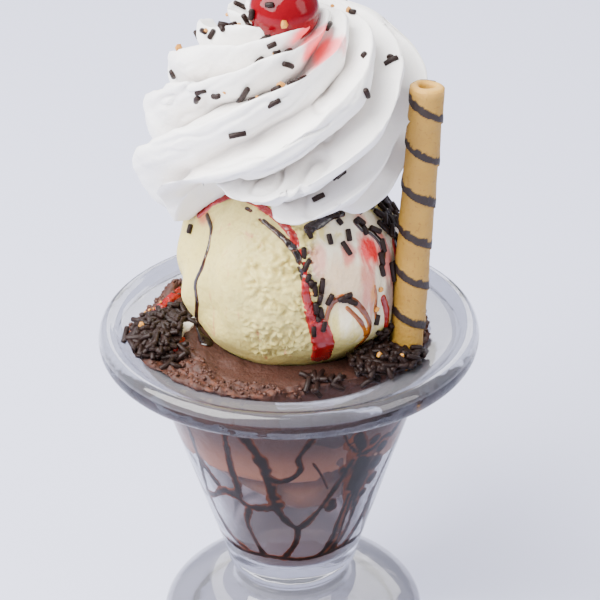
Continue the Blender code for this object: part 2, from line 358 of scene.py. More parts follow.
camera = put("camera", bpy.data.cameras.new("camera"))
camera.data.sensor_width = 36.0
camera.data.lens = 131.4  # a long lens, so that the dish hardly tapers
camera.data.shift_x = 0.0195
tilt_down = math.pi / 2.0 - 0.5045
camera.matrix_world = (
    Matrix.Translation((0.0, -0.6, 0.454))
    @ Matrix.Rotation(tilt_down, 4, "X")
    @ Matrix.Rotation(-0.0155, 4, "Z")
)
bpy.context.scene.camera = camera
print("studio ready")

# %% [markdown]
# ## The glass dish
#
# The real dish is pressed: molten glass fills a mould, so its wall is 3 to 5 mm thick, its lip is
# a fat round roll and its foot is a solid dome. A thick lathe-turned skin is enough to model it.
# The outline runs from the middle of the inner floor up the inside, over the lip and down the
# outside to the middle of the underside, and is spun about the Z axis. Rays bend at both faces,
# so the wall must have its true thickness, with both faces in one closed skin.

# %% Outline of the dish
RIM_RADIUS = glass_high.x
RIM_HEIGHT = glass_high.z
LIP_HALF_HEIGHT = 0.0043
FLOOR_HEIGHT = 0.0362
FOOT_EDGE_HEIGHT = 0.0045
INNER_WALL = [
    (0.0205, 0.0395), (0.0401, 0.104), (0.0405, 0.1075), (0.0413, 0.1101), (0.0428, 0.1115),
    (0.046, 0.1123), (0.0505, 0.1129), (0.0532, 0.1141),
]


def inner_radius(height):
    """Inside radius of the bowl at a height."""
    for (low_radius, low), (high_radius, high) in zip(INNER_WALL, INNER_WALL[1:]):
        if height <= high:
            return low_radius + (high_radius - low_radius) * (height - low) / (high - low)
    return INNER_WALL[-1][0]


def inner_height(radius):
    """Height of the bowl's inside at a radius."""
    for (low_radius, low), (high_radius, high) in zip(INNER_WALL, INNER_WALL[1:]):
        if radius <= high_radius:
            return low + (high - low) * (radius - low_radius) / (high_radius - low_radius)
    return INNER_WALL[-1][1]


def smooth_run(points, steps):
    return [tuple(along(points, step / steps)) for step in range(steps + 1)]


lip_centre = (RIM_RADIUS - 0.003, RIM_HEIGHT - LIP_HALF_HEIGHT)
floor_line = [(0.0, FLOOR_HEIGHT), (0.008, FLOOR_HEIGHT), (0.0155, FLOOR_HEIGHT), (0.0187, 0.0371)]
inside = smooth_run(floor_line + INNER_WALL[:2], 30)
inside += smooth_run(INNER_WALL[1:] + [(0.0546, 0.1155)], 28)[1:]
lip = arc(lip_centre, (0.003, LIP_HALF_HEIGHT), 118.0, -105.0, 30)
outside = smooth_run(
    arc((0.053, 0.0985), (0.0098, 0.009), 96.0, 172.0, 6)
    + [(0.0378, 0.0825), (0.0323, 0.065), (0.0268, 0.0475), (0.0226, 0.0341)],
    60,
)
heel = arc((0.0172, 0.0303), (0.0043, 0.0052), 8.0, -62.0, 12)
stem = arc((0.0245, 0.0222), (0.0068, 0.0066), 165.0, 245.0, 12)
dome = arc((0.0213, FOOT_EDGE_HEIGHT), (0.022, 0.0116), 82.0, 0.0, 26)
edge = arc((0.0396, FOOT_EDGE_HEIGHT), (0.0037, FOOT_EDGE_HEIGHT), -12.0, -90.0, 8)
under = smooth_run([(0.033, 0.0), (0.029, 0.0026), (0.015, 0.004), (0.0, 0.0044)], 20)
dish_outline = inside + lip + outside + heel + stem + dome + edge + under
print(len(dish_outline), "points in the outline")

# %% [markdown]
# ### Clear glass
#
# Glass is a shader with full transmission. Its refractive index is set lower than that of real
# glass, because this studio's pale floor would mirror in the cone and veil what is inside.
# Cycles would block the lamps with it, so for shadow rays it's swapped for a Transparent shader:
# then the food inside is lit. Cold ice cream mists the cone's inner face and frosts the flange and
# the lip above it, so these have rougher, slightly milky finishes of their own. So has the foot,
# which is dulled by years of washing. The misted inner face is also tinted a dark greyish brown,
# which is painted shade for the shaded inside of the empty cone.


# %% Glass finishes
GLASS_IOR = 1.2


def glass_finish(name, tone, roughness, ripple, body=0.0, gloss=0.0):
    """Glass of a tone. A share of body makes it milky, as frost does, and gloss wets it."""
    finish = Finish(
        name,
        Base_Color=tone,
        Roughness=roughness,
        IOR=GLASS_IOR,
        Transmission_Weight=1.0 - body,
        Coat_Weight=gloss,
        Coat_Roughness=0.04,
    )
    finish.relief(finish.noise(0.011, 2.0, (1, 1, 1.6)), ripple)
    tint = (0.9, 0.9, 0.91, 1.0)
    passing = finish.add("ShaderNodeBsdfTransparent", "BSDF", Color=tint)
    shadow_ray = finish.add("ShaderNodeLightPath", "Is Shadow Ray")
    choice = finish.nodes.new("ShaderNodeMixShader")
    for socket, result in zip(choice.inputs, (shadow_ray, finish.shader.outputs[0], passing)):
        finish.links.new(result, socket)
    finish.links.new(choice.outputs[0], finish.nodes["Material Output"].inputs["Surface"])
    return finish


GLASS_TONE = paint(198, 200, 207)
clear_glass = glass_finish("clear_glass", GLASS_TONE, 0.0, 0.0006)
# Real mist, with a dark tint that is painted shade for the shaded inside of the cone
misted_glass_with_painted_shade = glass_finish("misted_glass_with_painted_shade", paint(134, 117, 113), 0.22, 0.0004, 0.02)
lip_glass = glass_finish("lip_glass", paint(156, 157, 164), 0.11, 0.0008, 0.14, 0.8)
foot_glass = glass_finish("foot_glass", paint(138, 138, 146), 0.14, 0.001, 0.2, 0.8)
frosted_glass = glass_finish("frosted_glass", paint(146, 146, 153), 0.2, 0.0006, 0.34, 0.5)

# %% Glass dish
MISTED, LIP, FOOT, FROSTED = 1, 2, 3, 4
dish_shape = turned(dish_outline, 160)
dish = add_piece("pressed_glass_dish", dish_shape, clear_glass, ["glass_dish"])
for finish in (misted_glass_with_painted_shade, lip_glass, foot_glass, frosted_glass):
    dish.data.materials.append(finish.material)
for face in dish.data.polygons:
    middle = face.center
    radius = math.hypot(middle.x, middle.y)
    if FLOOR_HEIGHT - 0.001 < middle.z < 0.1 and radius < inner_radius(middle.z) + 0.0008:
        face.material_index = MISTED
    elif middle.z > 0.1085 and radius > 0.0402 and face.normal.z > 0.25:
        face.material_index = LIP if radius > 0.0525 else FROSTED
    elif middle.z < 0.0235:
        face.material_index = FOOT

# %% [markdown]
# ## Vanilla scoop
#
# A scooped ball is never a true ball. It's a little squared by the spoon, its left is smooth where
# the spoon slid, and its front is torn and open, because cold ice cream tears like crumb. Softer
# ice cream bulges at the right front. The ball is a sphere of even triangles, moved along each
# direction to its true reach and then roughened only where it is torn.

# %% Shape of the vanilla scoop
VANILLA_CENTRE = Vector((0.0017, 0.0, 0.1368))
VANILLA_HALF = Vector((0.0345, 0.033, 0.032))
VANILLA_SQUARENESS = 2.2
WAFER_BASE = Vector((0.0358, -0.0172, 0.1129))
WAFER_TOP = Vector((0.0414, -0.0135, 0.2007))
WAFER_RADIUS = 0.0053


def facing(azimuth, height):
    """A direction from the vanilla's middle: degrees from +X, and a share from -1 to 1 upwards."""
    flat = math.sqrt(max(0.0, 1.0 - height * height))
    turn = math.radians(azimuth)
    return Vector((math.cos(turn) * flat, math.sin(turn) * flat, height))


SOFT_HUMPS = [  # direction, width and height
    (facing(-60.0, -0.25), 0.2, 0.0022),
    (facing(-38.0, -0.4), 0.16, 0.0016),
    (facing(-100.0, 0.3), 0.45, 0.0008),
    (facing(-172.0, 0.1), 0.3, 0.0012),
    (facing(60.0, 0.1), 0.5, 0.0015),
]
SPOON_DENTS = [  # direction, width and depth
    (facing(-150.0, 0.45), 0.28, 0.0012),
    (facing(-140.0, -0.05), 0.22, 0.0006),
    (facing(-80.0, -0.75), 0.3, 0.0008),
    (facing(-47.0, -0.1), 0.12, 0.001),
    (facing(120.0, 0.3), 0.4, 0.0018),
]


def torn(direction):
    """How torn the surface is in a direction: fully at the front, a little on the back."""
    azimuth = math.degrees(math.atan2(direction.y, direction.x))
    front = sector(azimuth, -97.0, 22.0) * ease((direction.z + 0.75) / 0.35)
    back = 0.8 * sector(azimuth, 60.0, 50.0) * bump(direction.z, 0.5)
    wander = 0.5 * rough(direction, 0.35, 2)
    return ease((front + back + wander * 0.5 - 0.3) / 0.35)


def spoon_waves(direction):
    """Soft upright waves that the spoon left at the left side."""
    azimuth = math.degrees(math.atan2(direction.y, direction.x))
    left = sector(azimuth, -155.0, 32.0) * ease((direction.z + 0.55) / 0.4)
    return left * noise.noise(Vector((azimuth / 16.0, direction.z * 1.4, 4.0)))


def hills(direction, table):
    """The sum of smooth hills, each given by its direction, width and height."""
    return sum(height * bump((direction - middle).length, width) for middle, width, height in table)


def vanilla_reach(direction):
    power = VANILLA_SQUARENESS
    reach = sum(abs(part) ** power for part in direction) ** (-1.0 / power)
    return reach * (1.0 + 0.02 * noise.noise(direction * 2.1))


def vanilla_spot(direction):
    spot = VANILLA_CENTRE + direction * vanilla_reach(direction) * VANILLA_HALF
    lift = hills(direction, SOFT_HUMPS) - hills(direction, SPOON_DENTS)
    lift += 0.0005 * rough(direction, 0.3, 2)
    melted = bump((direction - facing(-45.0, 0.25)).length, 0.55)
    streaks = noise.noise(Vector((direction.x * 6.0, direction.y * 6.0, direction.z * 1.3)))
    lift += 0.0016 * melted * streaks
    lift += 0.0044 * spoon_waves(direction)
    crumb = torn(direction)
    if crumb > 0.0:
        pores = abs(rough(direction, 0.085, 3))
        flakes = rough(Vector((direction.x, direction.y, direction.z * 1.5)), 0.17, 3)
        torn_out = 0.0022 * ease(pores / 0.35) * ease(0.5 + flakes)
        lift += crumb * (0.0012 * flakes - torn_out + 0.0004)
    return spot + direction * lift


def keep_off_wafer(place, gap=0.0004):
    """Moves a place that is inside the wafer straight out of it."""
    axis = (WAFER_TOP - WAFER_BASE).normalized()
    from_base = place - WAFER_BASE
    across = from_base - axis * from_base.dot(axis)
    near = WAFER_RADIUS + gap
    if from_base.dot(axis) > -gap and across.length < near:
        return place + across.normalized() * (near - across.length)
    return place


vanilla_shape = bmesh.new()
bmesh.ops.create_icosphere(vanilla_shape, subdivisions=7, radius=1.0)
for vert in vanilla_shape.verts:
    vert.co = keep_off_wafer(vanilla_spot(vert.co.normalized()))
print("vanilla", len(vanilla_shape.faces), "faces")

# %% [markdown]
# ### Vanilla's finish
#
# Dairy fat scatters light just below the surface, so the shader has a little subsurface. The
# colour is a pale cream yellow, deeper in the torn pores. At the right front, melted cream and
# red and caramel sauce have run down together. Each stain is a soft spot whose edge is broken up
# by noise that is stretched downwards, so that it streaks.

# %% Finish of the vanilla scoop
VANILLA_STAINS = [  # centre and size in millimetres, stretch, colour, strength
    ((17, -30, 144), 12, (1.0, 1.0, 1.1), (206, 156, 104), 0.5),
    ((24.3, -21.5, 151), 8, (0.8, 0.8, 1.2), (210, 34, 40), 1.0),
    ((23.5, -26, 140), 10, (0.45, 0.45, 1.5), (178, 78, 66), 0.75),
    ((18, -25.5, 152.5), 6, (0.6, 0.6, 1.3), (206, 84, 76), 0.75),
    ((9, -29, 152), 7, (0.5, 0.5, 1.3), (216, 140, 128), 0.65),
    ((29.5, -18, 148), 10, (0.5, 0.5, 1.4), (190, 70, 80), 0.8),
    ((30.5, -19, 133.5), 7, (0.6, 0.6, 1.3), (84, 26, 48), 0.75),
    ((21, -17, 158), 6, (0.7, 0.7, 0.8), (210, 110, 100), 0.6),
    ((25, -25.3, 139), 3.5, (0.7, 0.7, 1.5), (190, 122, 24), 0.85),
    ((-26, -6, 156), 8, (0.8, 1.0, 0.6), (178, 70, 48), 0.75),
]
look = Finish("vanilla_ice_cream", Subsurface_Weight=0.25, Subsurface_Scale=0.004)
look.set(Subsurface_Radius=(1.0, 0.8, 0.5))
look.mottle(look.noise(0.012), (202, 184, 102), (214, 199, 126))
speck = look.share(look.noise(0.0016), 0.5, 0.68)
look.over(speck, (176, 152, 88), 0.35)
melt_zone = look.spot((0.024, -0.024, 0.146), 0.024, (1.0, 1.0, 1.25))
run_grain = look.noise(0.0032, 3.0, (1, 1, 4.5), 0.6)
ragged = look.math("MULTIPLY_ADD", run_grain, 0.9, -0.45)
melt = look.share(look.math("ADD", melt_zone, ragged), 0.15, 0.45)
look.over(melt, (230, 220, 192))
for centre, size, stretch, tone, strength in VANILLA_STAINS:
    stain = look.spot(Vector(centre) * MM, size * MM, stretch)
    stain = look.share(look.math("ADD", stain, ragged), 0.1, 0.6)
    look.over(stain, tone, strength)
look.set(Roughness=look.math("MULTIPLY_ADD", melt, -0.2, 0.45))
look.relief(look.noise(0.0014, 5.0), 0.0004)
vanilla = add_piece(
    "vanilla_ice_cream", vanilla_shape, look, ["vanilla_scoop"]
)
vanilla_skin = skin_of(vanilla)

# %% [markdown]
# ## Chocolate scoop
#
# Pushed down into the cone, the scoop keeps a round underside, fills the throat against the glass
# and spreads over the flange, further at the left than at the right. Under the vanilla its top is
# smooth, and round its edge it is crumbly. It's the same kind of moved ball as the vanilla. Where
# it fills the throat it reaches just into the glass, because a gap of air there would show as a
# bright film.

# %% Shape of the chocolate scoop
BALL_RADIUS = 0.0325
BALL_HEIGHT = 0.0856
CHOCOLATE_EDGE = 0.1124
CHOCOLATE_TOP = 0.1128
CHOCOLATE_SIDE_SHARE = 0.5
CONTACT_ANGLE = 73.0
CHOCOLATE_SPREAD = {  # how far its edge reaches in each direction
    -160.0: 0.0505,
    -138.0: 0.0462,
    -112.0: 0.0455,
    -86.0: 0.0372,
    -62.0: 0.0352,
    -38.0: 0.0415,
    0.0: 0.044,
    50.0: 0.0425,
    100.0: 0.042,
    145.0: 0.046,
}


def edge_radius(degrees):
    weights = {centre: sector(degrees, centre, 18.0) for centre in CHOCOLATE_SPREAD}
    ragged = 0.0006 * noise.noise(Vector((degrees * 0.11, 3.0, 0.0)))
    spread = sum(CHOCOLATE_SPREAD[centre] * weight for centre, weight in weights.items())
    return spread / sum(weights.values()) + ragged


def edge_height(degrees):
    level = CHOCOLATE_EDGE - 0.0022 * sector(degrees, 85.0, 50.0)
    return max(level, inner_height(edge_radius(degrees)) + 0.0012)


def pressed_radius(degrees, height):
    """Clear of the glass low down, just into it at the throat, and free of it above the flange."""
    around = Vector((math.radians(degrees) * 4.0, height / 0.012, 0.0))
    uneven = 0.01 * noise.noise(around) + 0.006 * noise.noise(around * 3.5)
    clearance = 0.0013 - 0.0015 * ease((height + uneven - 0.068) / 0.01)
    if height > INNER_WALL[2][1]:
        clearance = -0.0002 + 0.0008 * ease((height - INNER_WALL[2][1]) / 0.004)
    return min(edge_radius(degrees), inner_radius(height - max(clearance, 0.0)) - clearance)


def vanilla_underside(place):
    """Height of the vanilla's lower surface over a place, or None beside it."""
    across = (place.x - VANILLA_CENTRE.x) / VANILLA_HALF.x
    deep = (place.y - VANILLA_CENTRE.y) / VANILLA_HALF.y
    left_over = 1.0 - abs(across) ** VANILLA_SQUARENESS - abs(deep) ** VANILLA_SQUARENESS
    if left_over <= 0.0:
        return None
    return VANILLA_CENTRE.z - VANILLA_HALF.z * left_over ** (1.0 / VANILLA_SQUARENESS)


def crumbly(place):
    """How crumbly the chocolate's top is: along the front edge and on the lobe at the back left."""
    degrees = math.degrees(math.atan2(place.y, place.x))
    radius = math.hypot(place.x, place.y)
    wander = 0.003 * noise.noise(place / 0.007)
    wider = 0.003 * sector(degrees, -150.0, 22.0)
    front = ease((radius + wander - 0.035 + wider) / 0.003)
    lobe = bump((place - Vector((-0.042, 0.013, 0.121))).length, 0.01)
    return max(front, lobe) * ease((place.z - 0.1085) / 0.0025)


def chocolate_top(x, y):
    height = CHOCOLATE_TOP + 0.0035 * bump(math.hypot(x + 0.034, y + 0.008), 0.014)
    height += 0.0105 * bump(math.hypot(x + 0.039, y - 0.014), 0.0115)
    height -= 0.0022 * ease((y - 0.018) / 0.016)
    return height + 0.0012 * noise.noise(Vector((x, y, 0.0)) * 130.0)


def chocolate_place(angle, rise):
    degrees = math.degrees(angle)
    contact = math.radians(CONTACT_ANGLE)
    out = Vector((math.cos(angle), math.sin(angle), 0.0))
    brim = edge_height(degrees)
    if rise < CHOCOLATE_SIDE_SHARE:
        share = 2.0 * rise / CHOCOLATE_SIDE_SHARE
        turn = contact * min(share, 1.0)
        radius = BALL_RADIUS * math.sin(turn)
        height = BALL_HEIGHT - BALL_RADIUS * math.cos(turn) * (1.0 + 0.08 * math.cos(turn))
        if share < 1.0:
            left = sector(degrees, 215.0, 45.0)
            height += 0.0065 * left * math.sin(math.pi * share)
            radius -= 0.0006 * share
        else:
            height += (brim - height) * (share - 1.0) ** 0.8
            radius = pressed_radius(degrees, height)
        return out * radius + Vector((0.0, 0.0, height))
    inward = (rise - CHOCOLATE_SIDE_SHARE) / (1.0 - CHOCOLATE_SIDE_SHARE)
    spot = out * pressed_radius(degrees, brim) * (1.0 - inward) ** 0.8
    lift = ease(inward / 0.25)
    height = brim + (chocolate_top(spot.x, spot.y) - brim) * lift
    height += 0.001 * math.sqrt(inward) * (1.0 - lift)
    under = vanilla_underside(spot)
    if under is not None:
        height = min(height, under - 0.0003)
    return Vector((spot.x, spot.y, height))


def chocolate_relief(place, normal):
    crumb = crumbly(place)
    free = ease((place.z - 0.1095) / 0.002) if place.z > 0.1 else ease((0.076 - place.z) / 0.004)
    lift = 0.0004 * rough(place, 0.006, 3) * free
    if crumb > 0.0:
        lift += crumb * (0.0017 * rough(place, 0.0048, 3) + 0.0011 * abs(rough(place, 0.002, 2)))
    return lift


chocolate_shape = shaped_ball(360, 210, chocolate_place)
roughen(chocolate_shape, chocolate_relief)
print("chocolate", len(chocolate_shape.faces), "faces")

# %% [markdown]
# ### Chocolate's finish
#
# Milk chocolate ice cream is a dull reddish brown. Its crumbs are lighter and drier than its smooth
# top, which is moist and has small dark pores. Low in the glass the scoop is painted paler, and its
# underside paler still, as painted light that brightens the shade in the gap between the scoop and
# the glass; the mist on the glass dulls it again.

# %% Finish of the chocolate scoop
look = Finish("chocolate_ice_cream", Roughness=0.68, Subsurface_Weight=0.12, Subsurface_Scale=0.002)
look.set(Subsurface_Radius=(1.0, 0.6, 0.4))
look.mottle(look.noise(0.01, 4.0), (48, 20, 10), (65, 29, 15))
grain = look.share(look.noise(0.0022, 4.0), 0.52, 0.66)
look.over(grain, (82, 40, 23), look.attribute("crumbly"))
pore = look.share(look.pits(0.003), 0.26, 0.08)
patch = look.share(look.noise(0.005, 1.0), 0.5, 0.6)
look.over(look.math("MULTIPLY", pore, patch), (34, 18, 13), 0.7)
# Painted light: the scoop is painted paler low in the glass, where it lies in shade
painted_light_low_in_glass = look.share(look.spot((0.0, 0.0, 0.068), 0.052), 0.12, 0.45)
look.over(painted_light_low_in_glass, (152, 94, 64), 0.8)
# Painted light: the underside in the shaded gap above the glass is painted paler still
painted_light_underside = look.share(look.spot((0.0, 0.0, 0.05), 0.041), 0.02, 0.25)
look.over(painted_light_underside, (236, 178, 140))
look.relief(look.noise(0.0016, 5.0), 0.0005)
chocolate = add_piece(
    "chocolate_ice_cream", chocolate_shape, look, ["chocolate_scoop"]
)
keep_values(chocolate, "crumbly", [crumbly(vertex.co) for vertex in chocolate.data.vertices])
chocolate_skin = skin_of(chocolate)

# %% [markdown]
# ## Whipped cream
#
# A star nozzle with many teeth, turned as it fills, leaves sharp ridges that wind up a dome. They
# could be modelled one by one, but then their roots never meet well. Here a sphere's own meridians
# are made to follow the ridges: the angle of each vertex turns with its height, and the radius is
# pulled in between the ridges. So every crest is a line of the mesh and stays crisp. Smaller folds
# and a soft waver are added over that, since cream is never regular.

# %% Shape of the whipped cream
CREAM_RIDGES = 9
CREAM_SLOPE = 0.65
CREAM_GROOVE = 0.0122
CREAM_GROOVE_AT = 0.64
CREAM_CURL = 0.115
CREAM_FLOOR = 0.155
CREAM_LEAN = 0.0065
CREAM_FOOT_X = -0.004
CREAM_START = -12.0
CREAM_EDGE_SHARE = 0.1
CREAM_SIDE = [
    (0.0305, 0.1635), (0.038, 0.1665), (0.042, 0.1745), (0.0432, 0.184), (0.0425, 0.1935),
    (0.039, 0.2025), (0.0325, 0.21), (0.0235, 0.2158), (0.013, 0.2195), (0.0, 0.2205),
]
CREAM_DROPS = [  # direction, width and how far the lower edge hangs there
    (182.0, 16.0, 0.0125),
    (95.0, 40.0, 0.004),
    (246.0, 27.0, -0.015),
    (305.0, 16.0, -0.003),
]
CREAM_STEPS = 400
CREAM_TURNS = [0.0]
for step in range(CREAM_STEPS):
    here, after = along(CREAM_SIDE, step / CREAM_STEPS), along(CREAM_SIDE, (step + 1) / CREAM_STEPS)
    turn = math.dist(here, after) / (CREAM_SLOPE * max(here[0], 0.01))
    CREAM_TURNS.append(CREAM_TURNS[-1] + turn)


def cream_twist(share):
    """How far a ridge has turned about the axis by this share of the way up, in radians."""
    place = min(share, 0.9999) * CREAM_STEPS
    first = int(place)
    return CREAM_TURNS[first] + (CREAM_TURNS[first + 1] - CREAM_TURNS[first]) * (place - first)


def ridge(turns):
    """1 on a sharp crest, then a round side, a groove and a steep wall up to the next crest."""
    place = turns % 1.0
    if place < CREAM_GROOVE_AT:
        return 1.0 - (place / CREAM_GROOVE_AT) ** 1.7
    return ((place - CREAM_GROOVE_AT) / (1.0 - CREAM_GROOVE_AT)) ** 1.25


def cream_drop(degrees):
    """The lower edge hangs at the left and lifts to an arch at the front left."""
    return sum(drop * sector(degrees, centre, width) for centre, width, drop in CREAM_DROPS)


def vanilla_top(place):
    """Height of the vanilla's upper surface under a place, or None beside it."""
    under = vanilla_underside(place)
    return None if under is None else 2.0 * VANILLA_CENTRE.z - under


def cream_place(angle, rise):
    share = max(0.0, (rise - CREAM_EDGE_SHARE) / (1.0 - CREAM_EDGE_SHARE))
    radius, height = along(CREAM_SIDE, share)
    turned = angle + cream_twist(share) + math.radians(CREAM_START)
    around = Vector((math.cos(turned), math.sin(turned), 2.0 * share))
    turned += 0.09 * noise.noise(around * 1.7) + 0.035 * noise.noise(around * 4.5)
    degrees = math.degrees(turned)
    wobble = 0.2 * math.sin(3.0 * angle + 1.0) + 0.35 * noise.noise(around * 2.6 + UP * 5.0)
    fade = ease(share / 0.1 + 0.25) * ease((1.0 - share) / 0.3)
    depth = CREAM_GROOVE * fade * (1.0 + wobble)
    crest = ridge(CREAM_RIDGES * angle / math.tau)
    groove = 1.0 - crest
    # How deep in a groove this vertex lies, kept so that the finish can paint shade into the
    # grooves
    painted_groove_shade_depths.append(groove * fade)
    turned -= CREAM_CURL * fade * crest**3
    dent = 0.0042 * sector(degrees, -24.0, 17.0) * bump(height - 0.187, 0.014)
    radius -= depth * groove + dent
    height -= cream_drop(degrees) * (1.0 - ease(share / 0.38))
    height += 0.005 * groove * (1.0 - ease(share / 0.16))
    height -= 0.6 * depth * groove * ease((share - 0.45) / 0.3)
    if rise < CREAM_EDGE_SHARE:
        inward = rise / CREAM_EDGE_SHARE
        radius *= inward
        height = CREAM_FLOOR + (height - CREAM_FLOOR) * ease(inward)
    lean = CREAM_FOOT_X + CREAM_LEAN * ease((height - 0.17) / 0.032)
    return Vector((lean + radius * math.cos(turned), radius * math.sin(turned), height))


def cream_relief(place, normal):
    """Folds that run along the ridges, strongest where the cream has torn, and a soft waver."""
    angle = math.atan2(place.y, place.x)
    climb = place.z / CREAM_SLOPE / 0.038 - angle
    along_ridges = Vector((math.cos(climb), math.sin(climb), 0.0))
    bend = UP * (0.35 * noise.noise(place / 0.012))
    folds = noise.noise(along_ridges * 2.2 + UP * place.z / 0.036 + bend)
    creases = abs(noise.noise(along_ridges * 5.0 + UP * place.z / 0.02 + bend * 2.0))
    fine = noise.noise(along_ridges * 12.0 + UP * place.z / 0.012)
    torn_here = bump((place - Vector((0.004, -0.04, 0.186))).length, 0.017)
    torn_here += 0.7 * bump((place - Vector((-0.034, -0.02, 0.198))).length, 0.012)
    outside = ease((place.z - 0.15) / 0.01)
    lift = 0.001 * folds + 0.0002 * fine + 0.0005 * rough(place, 0.014, 2)
    lift -= (0.0001 + 0.0024 * torn_here) * (1.0 - ease(creases / 0.16))
    return outside * (lift + 0.0009 * torn_here * fine)


CREAM_REST = 0.172  # below this height the cream's underside lies on the vanilla
# Groove depth of each vertex, which the cream's finish turns into painted shade
painted_groove_shade_depths = []
cream_shape = shaped_ball(CREAM_RIDGES * 36, 200, cream_place)
roughen(cream_shape, cream_relief)
for vert in cream_shape.verts:
    top = vanilla_top(vert.co)
    if top is not None and vert.co.z < CREAM_REST:
        vert.co.z = max(vert.co.z, top + 0.0002)
print("cream", len(cream_shape.faces), "faces")

# %% [markdown]
# ### Cream's finish
#
# Whipped cream is almost white, and light scatters well inside it, so its shadows are soft and
# warm. The hollows between the ridges are painted a little darker than the crests, as painted
# shade. Red juice from the cherry has soaked into it at one side, as a pink stain with soft edges.

# %% Finish of the whipped cream
look = Finish("whipped_cream", Roughness=0.4, Subsurface_Weight=0.15, Subsurface_Scale=0.003)
look.set(Subsurface_Radius=(1.0, 0.9, 0.8))
look.mottle(look.noise(0.015), (246, 243, 240), (252, 250, 248))
# Painted shade: the grooves between the ridges are painted darker than the crests
painted_groove_shade = look.share(look.attribute("painted_groove_shade"), 0.35, 1.0)
look.over(painted_groove_shade, (206, 199, 194), 0.75)
stain_edge = look.math("MULTIPLY", look.noise(0.006), 0.5)
stain = look.math("ADD", look.spot((0.01, -0.0155, 0.215), 0.01), stain_edge)
stain = look.share(stain, 0.42, 0.7)
look.over(stain, (255, 128, 134), 0.95)
look.relief(look.noise(0.0022, 4.0), 0.00025)
cream = add_piece("piped_cream", cream_shape, look, ["whipped_cream"])
keep_values(cream, "painted_groove_shade", painted_groove_shade_depths)
cream_skin = skin_of(cream)

# %% [markdown]
# ## Cherry
#
# A cocktail cherry is a firm, glossy ball, a little wider than tall, with a dimple where its stem
# was. Syrup makes it shine, so the finish has a clear coat over a deep red.

# %% Cherry
CHERRY_CENTRE = (cherry_low + cherry_high) / 2.0
CHERRY_RADIUS = (cherry_high.x - cherry_low.x) / 2.0


def cherry_place(angle, rise):
    tilt = (rise - 0.5) * math.pi
    radius = CHERRY_RADIUS * math.cos(tilt) * (1.0 + 0.015 * math.cos(2.0 * angle + 0.6))
    height = CHERRY_RADIUS * math.sin(tilt) * 0.94 - 0.0028 * bump(radius, 0.0032) * ease(tilt)
    place = Vector((radius * math.cos(angle), radius * math.sin(angle), height))
    return CHERRY_CENTRE + place * (1.0 + 0.012 * noise.noise(place * 160.0))


look = Finish(
    "cherry", Roughness=0.12, Specular_IOR_Level=0.15, Coat_Weight=0.12, Coat_Roughness=0.03
)
look.mottle(look.noise(0.006), (98, 0, 10), (122, 0, 18))
look.relief(look.noise(0.004, 2.0), 0.0003)
cherry_shape = shaped_ball(64, 44, cherry_place)
cherry = add_piece("cocktail_cherry", cherry_shape, look, ["cherry"])
cherry_skin = skin_of(cherry)

# %% [markdown]
# ## Wafer roll
#
# A rolled wafer is a thin batter sheet, baked and wound round a rod while soft, with a line of
# chocolate batter that winds round it too. It's a spun tube. Then each vertex is moved out by a
# share of its turn round the rod, which gives the step where the sheet's edge shows, and the same
# share places the chocolate line, just above the step. The line is kept as an attribute of the
# vertices, so it stays on the surface whatever the wafer's lean.

# %% Shape of the wafer roll
WAFER_BORE = 0.0024
WAFER_PITCH = 0.01355
WAFER_STEP = 0.00035
wafer_lean = (WAFER_TOP - WAFER_BASE).to_track_quat("Z", "Y").to_matrix().to_4x4()
wafer_length = (WAFER_TOP - WAFER_BASE).length


def wind_share(place):
    """Where a place lies between one passage of the sheet's edge, 0, and the next one up, 1."""
    turn = math.atan2(place.y, place.x) / math.tau
    return ((place.z - wafer_length) / WAFER_PITCH + turn + 0.2) % 1.0


def wafer_outline():
    """Up the outside, over the top's soft edge, down the bore and back along the bottom."""
    outer = [(WAFER_RADIUS, 0.0006 + (wafer_length - 0.0012) * step / 280) for step in range(281)]
    top = arc((WAFER_RADIUS - 0.0013, wafer_length - 0.001), (0.0013, 0.001), 12.0, 90.0, 6)
    mouth = arc((WAFER_BORE + 0.0012, wafer_length - 0.0011), (0.0012, 0.0011), 95.0, 180.0, 6)
    bore = [
        (WAFER_BORE, wafer_length - 0.003 - (wafer_length - 0.006) * step / 12)
        for step in range(13)
    ]
    bottom = [(WAFER_BORE + 0.0004, 0.0002), (WAFER_RADIUS - 0.0006, 0.0), (WAFER_RADIUS, 0.0006)]
    return outer + top + mouth + bore + bottom


wafer_shape = turned(wafer_outline(), 96)
wafer_stripes = []
for vert in wafer_shape.verts:
    radius = math.hypot(vert.co.x, vert.co.y)
    share = wind_share(vert.co)
    outer = ease((radius - WAFER_BORE - 0.0008) / 0.001)
    ragged = 0.035 * rough(vert.co, 0.0016, 3) + 0.02 * rough(vert.co, 0.006, 2)
    stripe = ease((0.115 + 1.5 * ragged - abs(share - 0.1 - 0.5 * ragged)) / 0.018) * outer
    push = WAFER_STEP * (1.0 - share) - 0.0003
    push += 0.00012 * stripe
    push += 0.00006 * rough(vert.co, 0.0022, 3)
    push = outer * push + 0.00025 * rough(vert.co, 0.011, 2)
    out = Vector((vert.co.x, vert.co.y, 0.0)).normalized()
    vert.co += out * push
    if radius < WAFER_RADIUS - 0.0012 and vert.co.z > wafer_length - 0.006:
        oval = 1.0 + math.cos(math.atan2(vert.co.y, vert.co.x) * 2.0)
        vert.co += Vector((0.0004, -0.0001, 0.0)) * oval
    wafer_stripes.append(stripe)
wafer_tops = [ease((vert.co.z - wafer_length + 0.003) / 0.0025) for vert in wafer_shape.verts]
set_down(wafer_shape, wafer_shape.verts, wafer_lean, WAFER_BASE)

# %% [markdown]
# ### Wafer's finish
#
# Baked batter is a dry golden tan with fine darker flecks, paler at the bare rim of the mouth.

